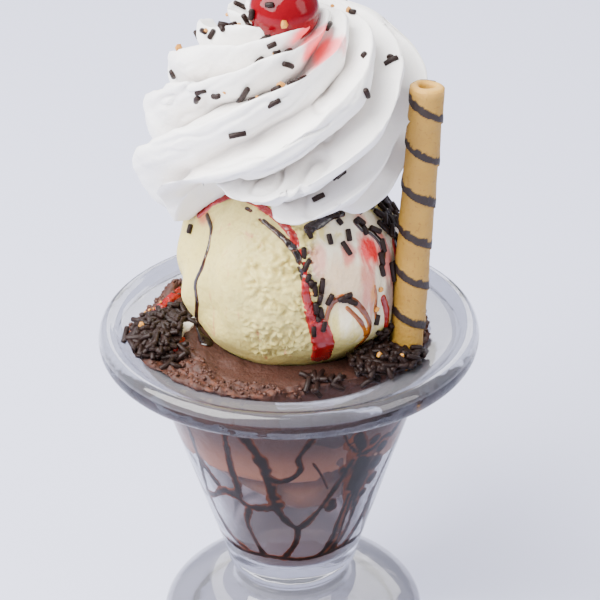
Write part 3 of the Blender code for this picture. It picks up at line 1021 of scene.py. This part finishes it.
# %% Finish of the wafer roll
look = Finish("baked_wafer", Roughness=0.62, Subsurface_Weight=0.06, Subsurface_Scale=0.001)
look.mottle(look.noise(0.006, 4.0), (148, 108, 32), (176, 136, 50))
fleck = look.share(look.noise(0.0011), 0.58, 0.72)
look.over(fleck, (112, 64, 22), 0.45)
look.over(look.attribute("mouth"), (200, 152, 62))
look.over(look.attribute("stripe"), (30, 14, 8))
look.relief(look.noise(0.0009, 4.0), 0.00025)
wafer = add_piece("rolled_wafer", wafer_shape, look, ["wafer_roll"])
keep_values(wafer, "stripe", wafer_stripes)
keep_values(wafer, "mouth", wafer_tops)

# %% [markdown]
# ## Sprinkles
#
# Chocolate sprinkles are short rods with rounded ends, some bent. One is a coarse ball whose two
# halves are drawn apart, so hundreds of them stay light. Each lies on the surface below it with
# its own heading. Where they have fallen is given in millimetres, piece by piece where they are
# few, and as patches with a count where they are many. All of them are one joined mesh.

# %% One sprinkle, and where it lies
SPRINKLE_RADIUS = 0.00088
SPRINKLE_SPACING = 1.55 * MM
chance = random.Random(11)


def add_sprinkle(shape, place, heading, normal, length, bend=0.0):
    """Adds a rod that lies along heading, on a surface with this normal."""
    made = bmesh.ops.create_uvsphere(
        shape, u_segments=8, v_segments=6, radius=SPRINKLE_RADIUS
    )["verts"]
    half = length / 2.0 - 0.6 * SPRINKLE_RADIUS
    for vert in made:
        across = math.hypot(vert.co.x, vert.co.y) / SPRINKLE_RADIUS
        side = 0.0 if abs(vert.co.z) < 0.1 * SPRINKLE_RADIUS else math.copysign(1.0, vert.co.z)
        widen = across**-0.65 if across > 0.1 else 1.0
        bow = bend * (1.0 - abs(side))
        drawn_out = 0.6 * vert.co.z + side * half
        vert.co = Vector((vert.co.x * widen + bow, vert.co.y * widen, drawn_out))
    forward = (heading - normal * heading.dot(normal)).normalized()
    side = normal.cross(forward)
    turn = Matrix((side, normal, forward)).transposed().to_4x4()
    set_down(shape, made, turn, place)


def heading_on(normal, degrees):
    """A direction in the surface: 0 is level, to the right from outside, and 90 is uphill."""
    level = UP.cross(normal)
    level = level.normalized() if level.length > 0.05 else Vector((1.0, 0.0, 0.0))
    uphill = normal.cross(level)
    turn = math.radians(degrees)
    return level * math.cos(turn) + uphill * math.sin(turn)


def sprinkle_at(shape, skin, x, y, z, degrees, length, lift=0.4, bend=0.0):
    """A sprinkle on the nearest place of a skin, with everything in millimetres and degrees."""
    place, normal = nearest(skin, x, y, z)
    heading = heading_on(normal, degrees)
    place += normal * SPRINKLE_RADIUS * lift
    add_sprinkle(shape, place, heading, normal, length * MM, bend * MM)


def round_the_side(azimuth, radius):
    """x and y in millimetres of a place at this azimuth in degrees and distance from the axis."""
    turn = math.radians(azimuth)
    return radius * math.cos(turn), radius * math.sin(turn)


def scatter(shape, skin, x, y, spread, count, layers=1.6, top=140.0):
    """Drops sprinkles from above on a round patch, each clear of the middles of the others."""
    middles = []
    for _ in range(count * 12):
        if len(middles) == count:
            break
        angle, reach = chance.uniform(0.0, math.tau), spread * math.sqrt(chance.random())
        start = Vector((x + reach * math.cos(angle), y + reach * math.sin(angle), top)) * MM
        place, normal, _, _ = skin.ray_cast(start, -UP)
        if place is None or normal.z < 0.15:
            continue
        place = place + normal * SPRINKLE_RADIUS * chance.uniform(0.3, layers)
        if any((place - other).length < SPRINKLE_SPACING for other in middles):
            continue
        middles.append(place)
        lean = Vector((chance.uniform(-0.45, 0.45), chance.uniform(-0.45, 0.45), 0.0))
        tilted = (normal + lean).normalized()
        heading = heading_on(tilted, chance.uniform(0.0, 180.0))
        length = chance.choice((3.2, 3.8, 4.2, 4.8, 5.4, 6.2)) * MM
        add_sprinkle(shape, place, heading, tilted, length, chance.uniform(-0.35, 0.35) * MM)


# %% [markdown]
# ### Heaps
#
# Two heaps lie on the chocolate. Each keeps a dark core inside the frame's solid, and loose
# sprinkles cover it, so that no gap between them is empty.


# %% Heap cores and loose sprinkles on the chocolate
def heap_core(node, name):
    shape = bmesh.new()
    shape.from_mesh(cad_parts[node].data)
    bmesh.ops.remove_doubles(shape, verts=shape.verts, dist=0.01 * MM)
    bmesh.ops.subdivide_edges(shape, edges=shape.edges, cuts=2, use_grid_fill=True)
    smooth(shape)
    roughen(shape, lambda place, normal: -0.0012 + 0.0006 * rough(place, 0.002, 2))
    return add_piece(name, shape, sprinkle_finish, [node])


sprinkle_finish = Finish("chocolate_sprinkles", Roughness=0.48, Specular_IOR_Level=0.22)
sprinkle_finish.mottle(sprinkle_finish.noise(0.003), (22, 11, 9), (38, 21, 16))
sprinkle_finish.relief(sprinkle_finish.noise(0.0007), 0.00012)
left_core = heap_core("sprinkles_left", "sprinkle_heap_left_core")
right_core = heap_core("sprinkles_right", "sprinkle_heap_right_core")
left_skin, right_skin = skin_of(left_core), skin_of(right_core)

loose = bmesh.new()
scatter(loose, left_skin, -41.5, -10.5, 12.0, 95)
scatter(loose, left_skin, -41.5, -10.5, 11.0, 50, 2.6)
scatter(loose, right_skin, 30.0, -24.0, 12.0, 80)
scatter(loose, right_skin, 30.0, -24.0, 11.0, 40, 2.6)
for x, y, spread, count in (
    (-33.0, 1.0, 4.5, 16), (-46.0, -6.0, 5.0, 14), (-36.0, -20.0, 4.0, 12), (7.5, -33.0, 3.6, 11),
    (15.0, -33.0, 2.5, 4), (24.0, -30.0, 3.5, 9), (39.0, -22.5, 4.5, 12), (33.0, -10.0, 4.5, 10),
):
    scatter(loose, chocolate_skin, x, y, spread, count)
print("loose on the chocolate", len(loose.faces), "faces")

# %% [markdown]
# ### Sprinkles on the vanilla and the cream
#
# On the vanilla, sprinkles slid down with the sauce and stand in columns. On the cream they lie
# where they fell, mostly in the hollows between two ridges, with a few on their own.

# %% Sprinkles on the vanilla
def vanilla_side(azimuth, height):
    """The place in millimetres on the vanilla's side at an azimuth in degrees and a height."""
    x, y = round_the_side(azimuth, 1.0)
    return vanilla_skin.ray_cast(Vector((0.0, 0.0, height * MM)), Vector((x, y, 0.0)))[0] / MM


for azimuth, height, degrees, length in (
    (-75, 159, 130, 4.0), (-60, 162.5, 10, 4.0), (-57, 162, 175, 4.6), (-54, 160.5, 110, 2.2),
    (-64, 157, 92, 3.4), (-52, 157, 78, 3.8), (-56, 154, 112, 4.8), (-41, 162, 60, 2.0),
    (-35, 161, 95, 3.0), (-43, 159.5, 100, 1.9), (-40, 159, 118, 3.4), (-40, 156.5, 90, 3.0),
    (-33, 155.5, 135, 4.2), (-23, 160, 0, 1.9), (-24, 154, 115, 6.6), (-33, 151, 88, 4.4),
    (-36, 147.5, 95, 4.4), (-37, 144, 98, 4.0), (-29, 141.5, 92, 6.4), (-25, 141, 88, 6.0),
    (-23, 137, 95, 4.6), (-43, 129, 60, 3.4), (-81, 154.5, 95, 4.4), (-79, 151, 100, 4.2),
    (-79, 148, 70, 3.0), (-78, 146, 88, 4.0), (-76, 144, 95, 4.6), (-72, 145, 82, 5.6),
    (-74, 141, 85, 4.6), (-69, 140.5, 65, 3.8), (-76, 138, 95, 4.2), (-73, 136, 100, 3.8),
    (-75, 134, 120, 3.2), (-77, 130, 92, 4.0), (-72, 131.5, 80, 3.6), (-61, 139.6, 175, 3.4),
    (-58, 138.5, 150, 3.2), (-63, 140.3, 20, 3.0), (-60, 141, 10, 2.6), (-173, 150, 95, 3.0),
):
    sprinkle_at(loose, vanilla_skin, *vanilla_side(azimuth, height), degrees, length, 0.55)
# Each patch: a count, the middle and spread of azimuth and of height, the least tilt and lift.
for count, turn, turn_spread, level, level_spread, flattest, lowest in (
    (34, -9.0, 7.0, 155.5, 4.0, 40, 0.6),
    (16, -37.0, 5.0, 120.0, 2.6, 30, 0.8),
):
    for _ in range(count):
        azimuth = chance.gauss(turn, turn_spread)
        place = vanilla_side(azimuth, min(chance.gauss(level, level_spread), 162.0))
        tilt, length = chance.uniform(flattest, 180 - flattest), chance.uniform(3.0, 5.0)
        sprinkle_at(loose, vanilla_skin, *place, tilt, length, chance.uniform(lowest, 1.8))

# %% Sprinkles on the cream
for x, y, z, degrees, length in (
    (-25, -20, 201, 60, 3.6), (-23, -21, 203, 30, 4.0), (-19, -23, 204, 15, 2.8),
    (-12, -25, 203, 88, 9.4), (-14, -33, 197, 12, 5.2), (-8, -33, 203, 20, 3.4),
    (-4, -33, 205, 38, 4.2), (-2, -32, 207, 100, 3.4), (2, -31, 208, 45, 3.0),
    (4, -30, 209, 40, 3.2), (3, -27, 211, 155, 5.6), (1, -24, 212, 150, 4.0),
    (-7, -18, 210, 55, 3.4), (-5, -22, 209, 0, 1.9), (-6, -15, 217, 100, 4.2),
    (-4, -17, 216, 20, 3.0), (-5, -16, 217, 150, 2.8), (1, -17, 214, 25, 3.8),
    (-2, -18, 213, 5, 2.4), (14, -31, 182, 35, 4.6), (15, -30, 181, 120, 4.4),
    (9, -31, 174, 40, 4.0), (21, -28, 205, 115, 3.4), (24, -17, 211, 80, 1.9),
    (31, -10, 207, 65, 4.6), (30, -9, 209, 10, 2.2), (12, -9, 218, 5, 4.0), (20, 2, 218, 0, 2.2),
    (-9, -4, 219, 78, 6.6), (-11, -4, 218, 92, 4.6), (-10, -6, 217, 60, 4.0),
    (-17, -5, 217, 20, 4.6), (-15, -7, 217, 130, 3.6), (-19, -6, 217, 160, 3.0),
    (-22, -4, 214, 70, 3.4), (-26, 0, 213, 10, 3.2), (8, 14, 217, 30, 4.0),
    (-14, 18, 213, 120, 4.6), (18, 18, 212, 70, 4.2), (-28, 17, 205, 50, 3.8),
    (4, 29, 207, 15, 4.4), (30, 14, 204, 100, 4.0), (-36, 6, 195, 60, 4.2),
    (-8, 37, 192, 140, 3.8), (24, 32, 186, 35, 4.6),
):
    sprinkle_at(loose, cream_skin, x, y, z, degrees, length, 0.5, chance.uniform(-0.3, 0.3))
sprinkle_at(loose, cherry_skin, -9, -10, 222, 80, 3.4, 0.9)
sprinkle_at(loose, cherry_skin, -4, -13, 226, 10, 2.6, 0.7)
add_piece("chocolate_sprinkles", loose, sprinkle_finish)

# %% [markdown]
# ## Chopped nuts
#
# Roasted hazelnuts, chopped small, are angular golden chips. A chip is the coarsest round solid,
# squashed by its own amounts, with its corners pushed about. They lie among the sprinkles.

# %% Chopped nuts
chips = bmesh.new()


def add_chip(place, size):
    made = bmesh.ops.create_icosphere(chips, subdivisions=1, radius=1.0)["verts"]
    reach = [size * chance.uniform(0.6, 1.1) for _ in range(3)]
    for vert in made:
        push = chance.uniform(0.75, 1.15)
        vert.co = Vector(part * axis * push for part, axis in zip(vert.co, reach))
    spin = Quaternion((chance.random(), chance.random(), chance.random()), chance.uniform(0.0, 6.0))
    set_down(chips, made, spin.to_matrix().to_4x4(), place)


def chip_at(skin, x, y, z, size, lift=0.5):
    place, normal = nearest(skin, x, y, z)
    add_chip(place + normal * size * lift * MM, size * MM)


for x, y, z, size in (
    (-31, 1, 213, 1.5), (-26, -2, 214, 0.9), (-9, -24, 209, 1.0), (-7, -32, 203, 1.1),
    (-1, -31, 208, 1.4), (-17, -24, 205, 0.6), (-3, -18, 213, 0.9), (-10, -7, 219, 1.2),
    (-13, -8, 218, 0.9), (14, 2, 219, 0.9), (19, 3, 218, 1.3), (-6, -2, 219, 0.9),
    (10, 20, 214, 1.2), (-20, 14, 212, 1.0), (26, 20, 207, 1.1),
):
    chip_at(cream_skin, x, y, z, size)
chip_at(cherry_skin, 0, -16, 221, 1.3, 0.3)
chip_at(left_skin, -46, -11, 121, 1.5, 1.6)
chip_at(left_skin, -39, 0, 121, 1.6, 1.6)
chip_at(right_skin, 28, -30, 120, 1.3, 1.4)
chip_at(right_skin, 34, -28, 119, 1.2, 1.4)
chip_at(chocolate_skin, 42, -25, 114, 1.2, 0.9)
chip_at(chocolate_skin, 38, -29, 113, 0.9, 0.9)
for azimuth, height, size in ((-44, 133, 1.2), (-41, 139, 1.0), (-78, 143, 0.8)):
    chip_at(vanilla_skin, *vanilla_side(azimuth, height), size, 0.7)
for _ in range(10):
    x, y = chance.uniform(-50, -38), chance.uniform(-16, 4)
    chip_at(chocolate_skin, x, y, 120, chance.uniform(0.5, 0.9), 1.5)
look = Finish("chopped_nuts", Roughness=0.5, Subsurface_Weight=0.1, Subsurface_Scale=0.001)
look.mottle(look.noise(0.0015), (168, 100, 28), (206, 150, 58))
look.relief(look.noise(0.0006), 0.0002)
nuts = add_piece("chopped_nuts", chips, look)
for face in nuts.data.polygons:
    face.use_smooth = False

# %% [markdown]
# ## Sauces
#
# Sauce runs in strands that join where they meet, and it lies flat on what it runs over. A strand
# is made as a row of balls along a smooth line. A voxel remesh joins all the balls of one sauce
# into a single skin, which gives the soft webs at the forks. Then the skin is pressed: each vertex
# keeps only a share of its height over the surface below, so that the strand becomes a low bead
# that reaches a little into that surface. How thin the sauce is at each vertex is kept as an
# attribute, because thin sauce is lighter and warmer.

# %% Helpers for sauces
SHRINKAGE = 0.22  # what smoothing takes off a strand's half width, in millimetres
sauce_chance = random.Random(5)


def balls_along(points, swell=0.12):
    """Balls along a smooth curve through points that each end in their own radius."""
    balls, walked, steps = [], 0.0, 60 * (len(points) - 1)
    before = None
    for step in range(steps + 1):
        x, y, z, radius = along(points, step / steps)
        place = Vector((x, y, z)) * MM
        if before is not None:
            walked += (place - before).length
        before = place
        if not balls or walked > 0.45 * balls[-1][1] or step == steps:
            uneven = 1.0 + swell * sauce_chance.uniform(-1.0, 1.0)
            balls.append((place, (radius * uneven + SHRINKAGE) * MM))
            walked = 0.0
    return balls


def joined(balls, grain):
    """One smooth skin round all the balls."""
    shape = bmesh.new()
    for place, radius in balls:
        at_place = Matrix.Translation(place)
        bmesh.ops.create_icosphere(shape, subdivisions=1, radius=1.08 * radius, matrix=at_place)
    mesh = mesh_of("balls", shape)
    holder = put("balls", mesh)
    remesh = holder.modifiers.new("join", "REMESH")
    remesh.mode = "VOXEL"
    remesh.voxel_size = grain
    soften = holder.modifiers.new("soften", "SMOOTH")
    soften.iterations = 5
    skin = bmesh.new()
    skin.from_object(holder, bpy.context.evaluated_depsgraph_get())
    bpy.data.objects.remove(holder)
    bpy.data.meshes.remove(mesh)
    return skin


def low_bead(gap, share, thickest):
    """What is left of a height over the surface once the strand is pressed."""
    return thickest * (1.0 - math.exp(-share * max(gap, 0.0) / thickest))


def press_on(shape, skin, share=0.9, thickest=1.3 * MM, into=0.1 * MM):
    for vert in shape.verts:
        place, normal, _, _ = skin.find_nearest(vert.co)
        gap = (vert.co - place).dot(normal)
        vert.co = place + normal * (low_bead(gap, share, thickest) - into)
    for _ in range(2):
        smooth(shape)


def add_sauce(name, shape, finish, thin_at):
    """A pressed sauce as a piece. How thin it is at each vertex is kept as an attribute."""
    piece = add_piece(name, shape, finish)
    keep_values(piece, "thin", [thin_at(vertex.co) for vertex in piece.data.vertices])


def sauce_finish(name, deep, shallow, roughness=0.14):
    finish = Finish(name, Roughness=roughness, Specular_IOR_Level=0.6)
    cloud = finish.noise(0.006, 2.0)
    thin = finish.math("MULTIPLY", finish.attribute("thin"), finish.share(cloud, 0.25, 0.55))
    finish.mottle(thin, deep, shallow)
    finish.relief(finish.noise(0.004, 2.0), 0.0002)
    return finish


dark_sauce = sauce_finish("chocolate_sauce", (24, 13, 12), (84, 42, 20))
glass_side_sauce = sauce_finish("chocolate_sauce_on_glass", (20, 9, 6), (92, 44, 20), 0.6)
glass_side_sauce.set(Specular_IOR_Level=0.0)
red_sauce = sauce_finish("red_sauce", (128, 10, 12), (190, 40, 34))
caramel = sauce_finish("caramel_sauce", (104, 46, 12), (190, 110, 30))
melted_cream = sauce_finish("melted_cream", (240, 234, 226), (246, 226, 218), 0.25)
print("five sauce finishes")

# %% [markdown]
# ### Chocolate sauce inside the glass
#
# Before the ice cream went in, sauce was swirled round the inside of the cone. It ran down in
# lines that fork and join, most of them thin, with one large pool at the right front. The lines
# at the front are given as directions from +X in degrees and heights in millimetres. Round the
# rest of the cone, seeded lines run down and arches link them. Every strand reaches a little into
# the glass, so that no film of air shows in front of it.

# %% Sauce web on the inner wall
WEB_GRAIN = 0.4 * MM
INTO_GLASS = 0.3 * MM
WEB_LINES = [  # half width in millimetres, then azimuth and height
    (0.9, [(-121, 98), (-122, 88), (-123, 79), (-122, 72), (-125, 66)]),
    (1.2, [(-155, 60), (-146, 62), (-134, 67), (-125, 66.5), (-119, 63.5), (-110, 63.5),
           (-100, 65)]),
    (1.5, [(-114, 99), (-108, 91), (-104, 84), (-103, 78), (-101, 71), (-100, 65)]),
    (0.9, [(-103, 79), (-97, 77), (-89, 79), (-85, 83), (-86, 88), (-79, 97)]),
    (1.0, [(-100, 65), (-93, 58), (-86, 55), (-80, 57), (-71, 64), (-63, 73), (-57, 82)]),
    (0.8, [(-86, 55), (-87, 48), (-97, 40)]),
    (0.8, [(-118, 62), (-122, 55), (-120, 48), (-114, 40)]),
    (1.0, [(-53, 66), (-56, 54), (-58, 46), (-66, 40)]),
    (0.9, [(-44, 61), (-46, 48), (-56, 40)]),
    (0.7, [(-50, 64), (-51, 54), (-52, 45), (-60, 40)]),
    (0.9, [(-28, 62), (-29, 50), (-40, 41)]),
    (1.0, [(-54, 84), (-45, 84), (-38, 87), (-30, 86), (-22, 92)]),
    (0.4, [(-79, 85), (-74, 79), (-69, 72)]),
    (0.8, [(-147, 78), (-155, 61), (-149, 46), (-131, 41)]),
    (0.8, [(-150, 100), (-146, 90), (-147, 78), (-138, 69)]),
    (0.7, [(-66, 98), (-62, 91), (-56, 86)]),
]
WEB_POOL = [  # azimuth, height and half width
    (-57, 93, 2.4), (-54, 86, 4.2), (-50, 79, 6.0), (-48, 73, 6.4), (-50, 67, 4.2), (-46, 60, 2.4),
]
WEB_DROPS = [  # the same of each single drop
    (-64.5, 65, 1.5), (-64.5, 62.6, 2.3), (-37, 83, 3.0), (-38, 76, 3.4), (-60, 79, 2.6),
    (-36, 69, 2.4), (-61, 90, 2.2), (-45, 88, 2.6), (-101, 74, 2.1), (-100.5, 69, 2.6),
    (-99, 66, 2.5), (-124, 68, 2.1), (-122, 73, 1.6), (-103, 82, 1.8), (-41, 64, 2.0),
]


def wall_ball(azimuth, height, half_width):
    x, y = round_the_side(azimuth, inner_radius(height * MM) / MM)
    return x, y, height, half_width


def wall_strand(line, half_width, thinnest, thickest, swell=0.12):
    """Balls along a line on the wall, whose half width wanders between two shares of its own."""
    halves = [half_width * sauce_chance.uniform(thinnest, thickest) for _ in line]
    return balls_along([wall_ball(*point, half) for point, half in zip(line, halves)], swell)


web_balls = []
for half_width, line in WEB_LINES:
    web_balls += wall_strand(line, half_width, 0.6, 1.35, 0.4)
web_balls += balls_along([wall_ball(*point) for point in WEB_POOL])
for point in WEB_DROPS:
    web_balls.append(balls_along([wall_ball(*point)] * 2)[0])
ring = [
    wall_ball(azimuth, 39.8 + 0.5 * math.sin(azimuth * 0.1), 0.75)
    for azimuth in range(-180, 181, 12)
]
web_balls += balls_along(ring, 0.3)
falls = []
for start in range(-12, 200, 19):
    azimuth, height, fall = start + sauce_chance.uniform(-5, 5), sauce_chance.uniform(92, 100), []
    lowest = sauce_chance.choice((40, 40, 47, 58))
    while height > lowest:
        fall.append((azimuth, height))
        azimuth += sauce_chance.gauss(0.0, 4.0)
        height -= sauce_chance.uniform(6.0, 10.0)
    fall.append((azimuth, lowest))
    falls.append(fall)
    web_balls += wall_strand(fall, sauce_chance.uniform(0.7, 1.4), 0.6, 1.2)
for here, after in zip(falls, falls[1:]):
    start, end = sauce_chance.choice(here[1:-1]), sauce_chance.choice(after[1:-1])
    middle = ((start[0] + end[0]) / 2.0, (start[1] + end[1]) / 2.0 - 6.0)
    web_balls += balls_along([wall_ball(*point, 0.9) for point in (start, middle, end)])

web_shape = joined(web_balls, WEB_GRAIN)
for vert in web_shape.verts:
    radius = math.hypot(vert.co.x, vert.co.y)
    wall = inner_radius(vert.co.z)
    vert.co.xy *= (wall + INTO_GLASS - low_bead(wall - radius, 0.5, 1.1 * MM)) / radius
web_middles = KDTree(len(web_balls))
for index, (place, _) in enumerate(web_balls):
    web_middles.insert(place, index)
web_middles.balance()


def thin_in_web(place):
    """1 at the edge of a strand and 0 at its middle."""
    _, index, distance = web_middles.find(place)
    return ease((distance / web_balls[index][1] - 0.56) / 0.45)


add_sauce("sauce_web_in_the_glass", web_shape, glass_side_sauce, thin_in_web)

# %% [markdown]
# ### Sauce and melted cream on the scoops
#
# The points of each run are in millimetres, close to the surface, and each has its own half
# width. The nearest place on the ice cream does the rest.


# %% Runs over the ice cream
THIN_UNDER = 0.08 * MM
THIN_RANGE = 0.38 * MM
FULL_DROP = {"share": 1.0, "thickest": 2.0 * MM}  # a drop keeps more of its height


def run_over(name, runs, skin, finish, slot, grain=0.28, **pressing):
    balls = []
    for run in runs:
        on_skin = []
        for x, y, z, half_width in run:
            on_skin.append((*(nearest(skin, x, y, z)[0] / MM), half_width))
        balls += balls_along(on_skin)
    shape = joined(balls, grain * MM)
    press_on(shape, skin, **pressing)

    def thin_on_skin(place):
        return 1.0 - ease((skin.find_nearest(place)[3] - THIN_UNDER) / THIN_RANGE)

    add_sauce(name, shape, finish, thin_on_skin)


SAUCE_RUNS = [  # name, skin, finish, slot, how it is pressed, and the points of each run
    ("dark_runs_on_vanilla", vanilla_skin, dark_sauce, "chocolate_sauce", {}, [
        [(-25, -8, 157, 0.7), (-25, -15, 154, 0.7), (-26, -19, 146, 0.6), (-28, -18, 139, 0.6),
         (-28, -18, 132, 0.6), (-28.5, -14, 124, 0.7), (-28, -9, 118, 0.8)],
        [(-12, -16, 163, 0.6), (-5, -23, 160, 0.7), (0, -27, 157, 0.9), (3, -29, 153, 1.0),
         (5, -31, 147, 0.8)],
        [(6, -25, 160, 1.4), (9, -23, 161, 1.6), (13, -20, 162, 1.5), (16, -18, 161, 1.0)],
        [(29, -4, 160, 1.4), (32, -9, 152, 1.2), (33, -12, 145, 1.0), (32, -14, 138, 1.0),
         (31, -16, 131, 1.5)],
        [(20, -19, 159, 0.8), (22, -19, 157, 0.9), (25, -18, 155, 0.9), (28, -18, 150, 0.9),
         (28, -21, 143, 0.8)],
    ]),
    ("red_runs_on_vanilla", vanilla_skin, red_sauce, "red_sauce", {}, [
        [(-27, -4, 155, 1.0), (-20, -8, 162, 0.9), (-14, -11, 164, 0.8), (-8, -17, 164, 0.9),
         (0, -24, 160, 1.2), (4, -29, 152, 1.1), (5, -32, 143, 1.2), (7, -32, 134, 1.9),
         (9, -30, 126, 2.3), (9, -26, 117, 2.4)],
        [(10, -31, 132, 1.6), (12, -30, 126, 1.6), (11, -26, 117, 2.0)],
        [(32, -11, 149, 0.8), (33, -13, 143, 0.9), (33, -14, 137, 0.7)],
        [(28, -21, 135, 0.9), (29, -20, 130, 1.0), (28, -19, 125, 0.9)],
    ]),
    ("caramel_runs_on_vanilla", vanilla_skin, caramel, "chocolate_sauce", {}, [
        [(11, -31, 132, 0.5), (12, -31, 137, 0.7), (14, -31, 140, 0.9), (17, -30, 140, 1.1),
         (20, -28, 136, 1.0), (22, -26, 130, 0.8), (23, -25, 125, 0.7), (21, -22, 117, 0.6)],
        [(17, -30, 137, 0.5), (20, -28, 131, 0.7), (22, -26, 126, 0.5)],
        [(25, -25, 141, 0.4), (26, -25, 136, 0.7), (25, -24, 130, 0.5), (23, -24, 124, 0.5)],
    ]),
    ("cream_runs_on_vanilla", vanilla_skin, melted_cream, "whipped_cream", {}, [
        [(32, -3, 156, 1.2), (34, -8, 150, 1.3), (35, -11, 142, 1.3), (34, -13, 135, 1.6),
         (33, -14, 130, 1.0)],
    ]),
    ("dark_drop_on_chocolate", chocolate_skin, dark_sauce, "chocolate_sauce", FULL_DROP, [
        [(-28.7, -4, 117, 0.7), (-27.6, -8.5, 116, 1.0), (-26.0, -12, 115, 1.9),
         (-25.6, -13, 115, 1.9)],
    ]),
    ("melted_cream_on_chocolate", chocolate_skin, melted_cream, "whipped_cream", {}, [
        [(-38, -14, 116, 1.6), (-35, -9, 117, 2.4), (-32, -4, 117, 2.2), (-30, 2, 116, 1.8),
         (-29, 8, 116, 1.2)],
        [(-37, -9, 116, 1.4), (-40, -12, 115, 1.2), (-43, -14, 114, 1.0)],
    ]),
    ("red_runs_on_chocolate", chocolate_skin, red_sauce, "red_sauce", {}, [
        [(-31, 14, 121, 1.0), (-34, 10, 121, 1.4), (-39, 5, 119, 1.5), (-45, -1, 116, 1.1),
         (-50, -5, 115, 0.8)],
        [(-33, -12, 117, 0.9), (-35, -15, 116, 1.1), (-35, -18, 115, 0.7)],
    ]),
]
for name, skin, finish, slot, pressing, runs in SAUCE_RUNS:
    run_over(name, runs, skin, finish, slot, **pressing)

# %% [markdown]
# ## Crumbs
#
# Where the chocolate is crumbly, small loose crumbs lie on it, each a small ball pushed out of
# shape.

# %% Chocolate crumbs
CRUMB_COUNT = 640
crumbs = bmesh.new()
crumb_chance = random.Random(23)
placed = 0
for _ in range(6000):
    if placed == CRUMB_COUNT:
        break
    turn, reach = crumb_chance.uniform(-math.pi, math.pi), crumb_chance.uniform(0.034, 0.052)
    start = Vector((reach * math.cos(turn), reach * math.sin(turn), 0.14))
    place, normal, _, _ = chocolate_skin.ray_cast(start, -UP)
    if place is None or crumb_chance.random() > crumbly(place) or normal.z < 0.1:
        continue
    size = crumb_chance.choice((0.22, 0.3, 0.38, 0.5, 0.65)) * MM
    made = bmesh.ops.create_icosphere(crumbs, subdivisions=2, radius=1.0)["verts"]
    shift = Vector((crumb_chance.uniform(0.0, 90.0), 0.0, 0.0))
    for vert in made:
        lump = 1.0 + 0.7 * noise.noise(vert.co * 1.7 + shift)
        vert.co = place + normal * size * 0.4 + vert.co * size * lump
    placed += 1
look = Finish("chocolate_crumbs", Roughness=0.6)
look.mottle(look.noise(0.003), (50, 22, 12), (76, 37, 21))
look.relief(look.noise(0.0006), 0.00015)
add_piece("chocolate_crumbs", crumbs, look)
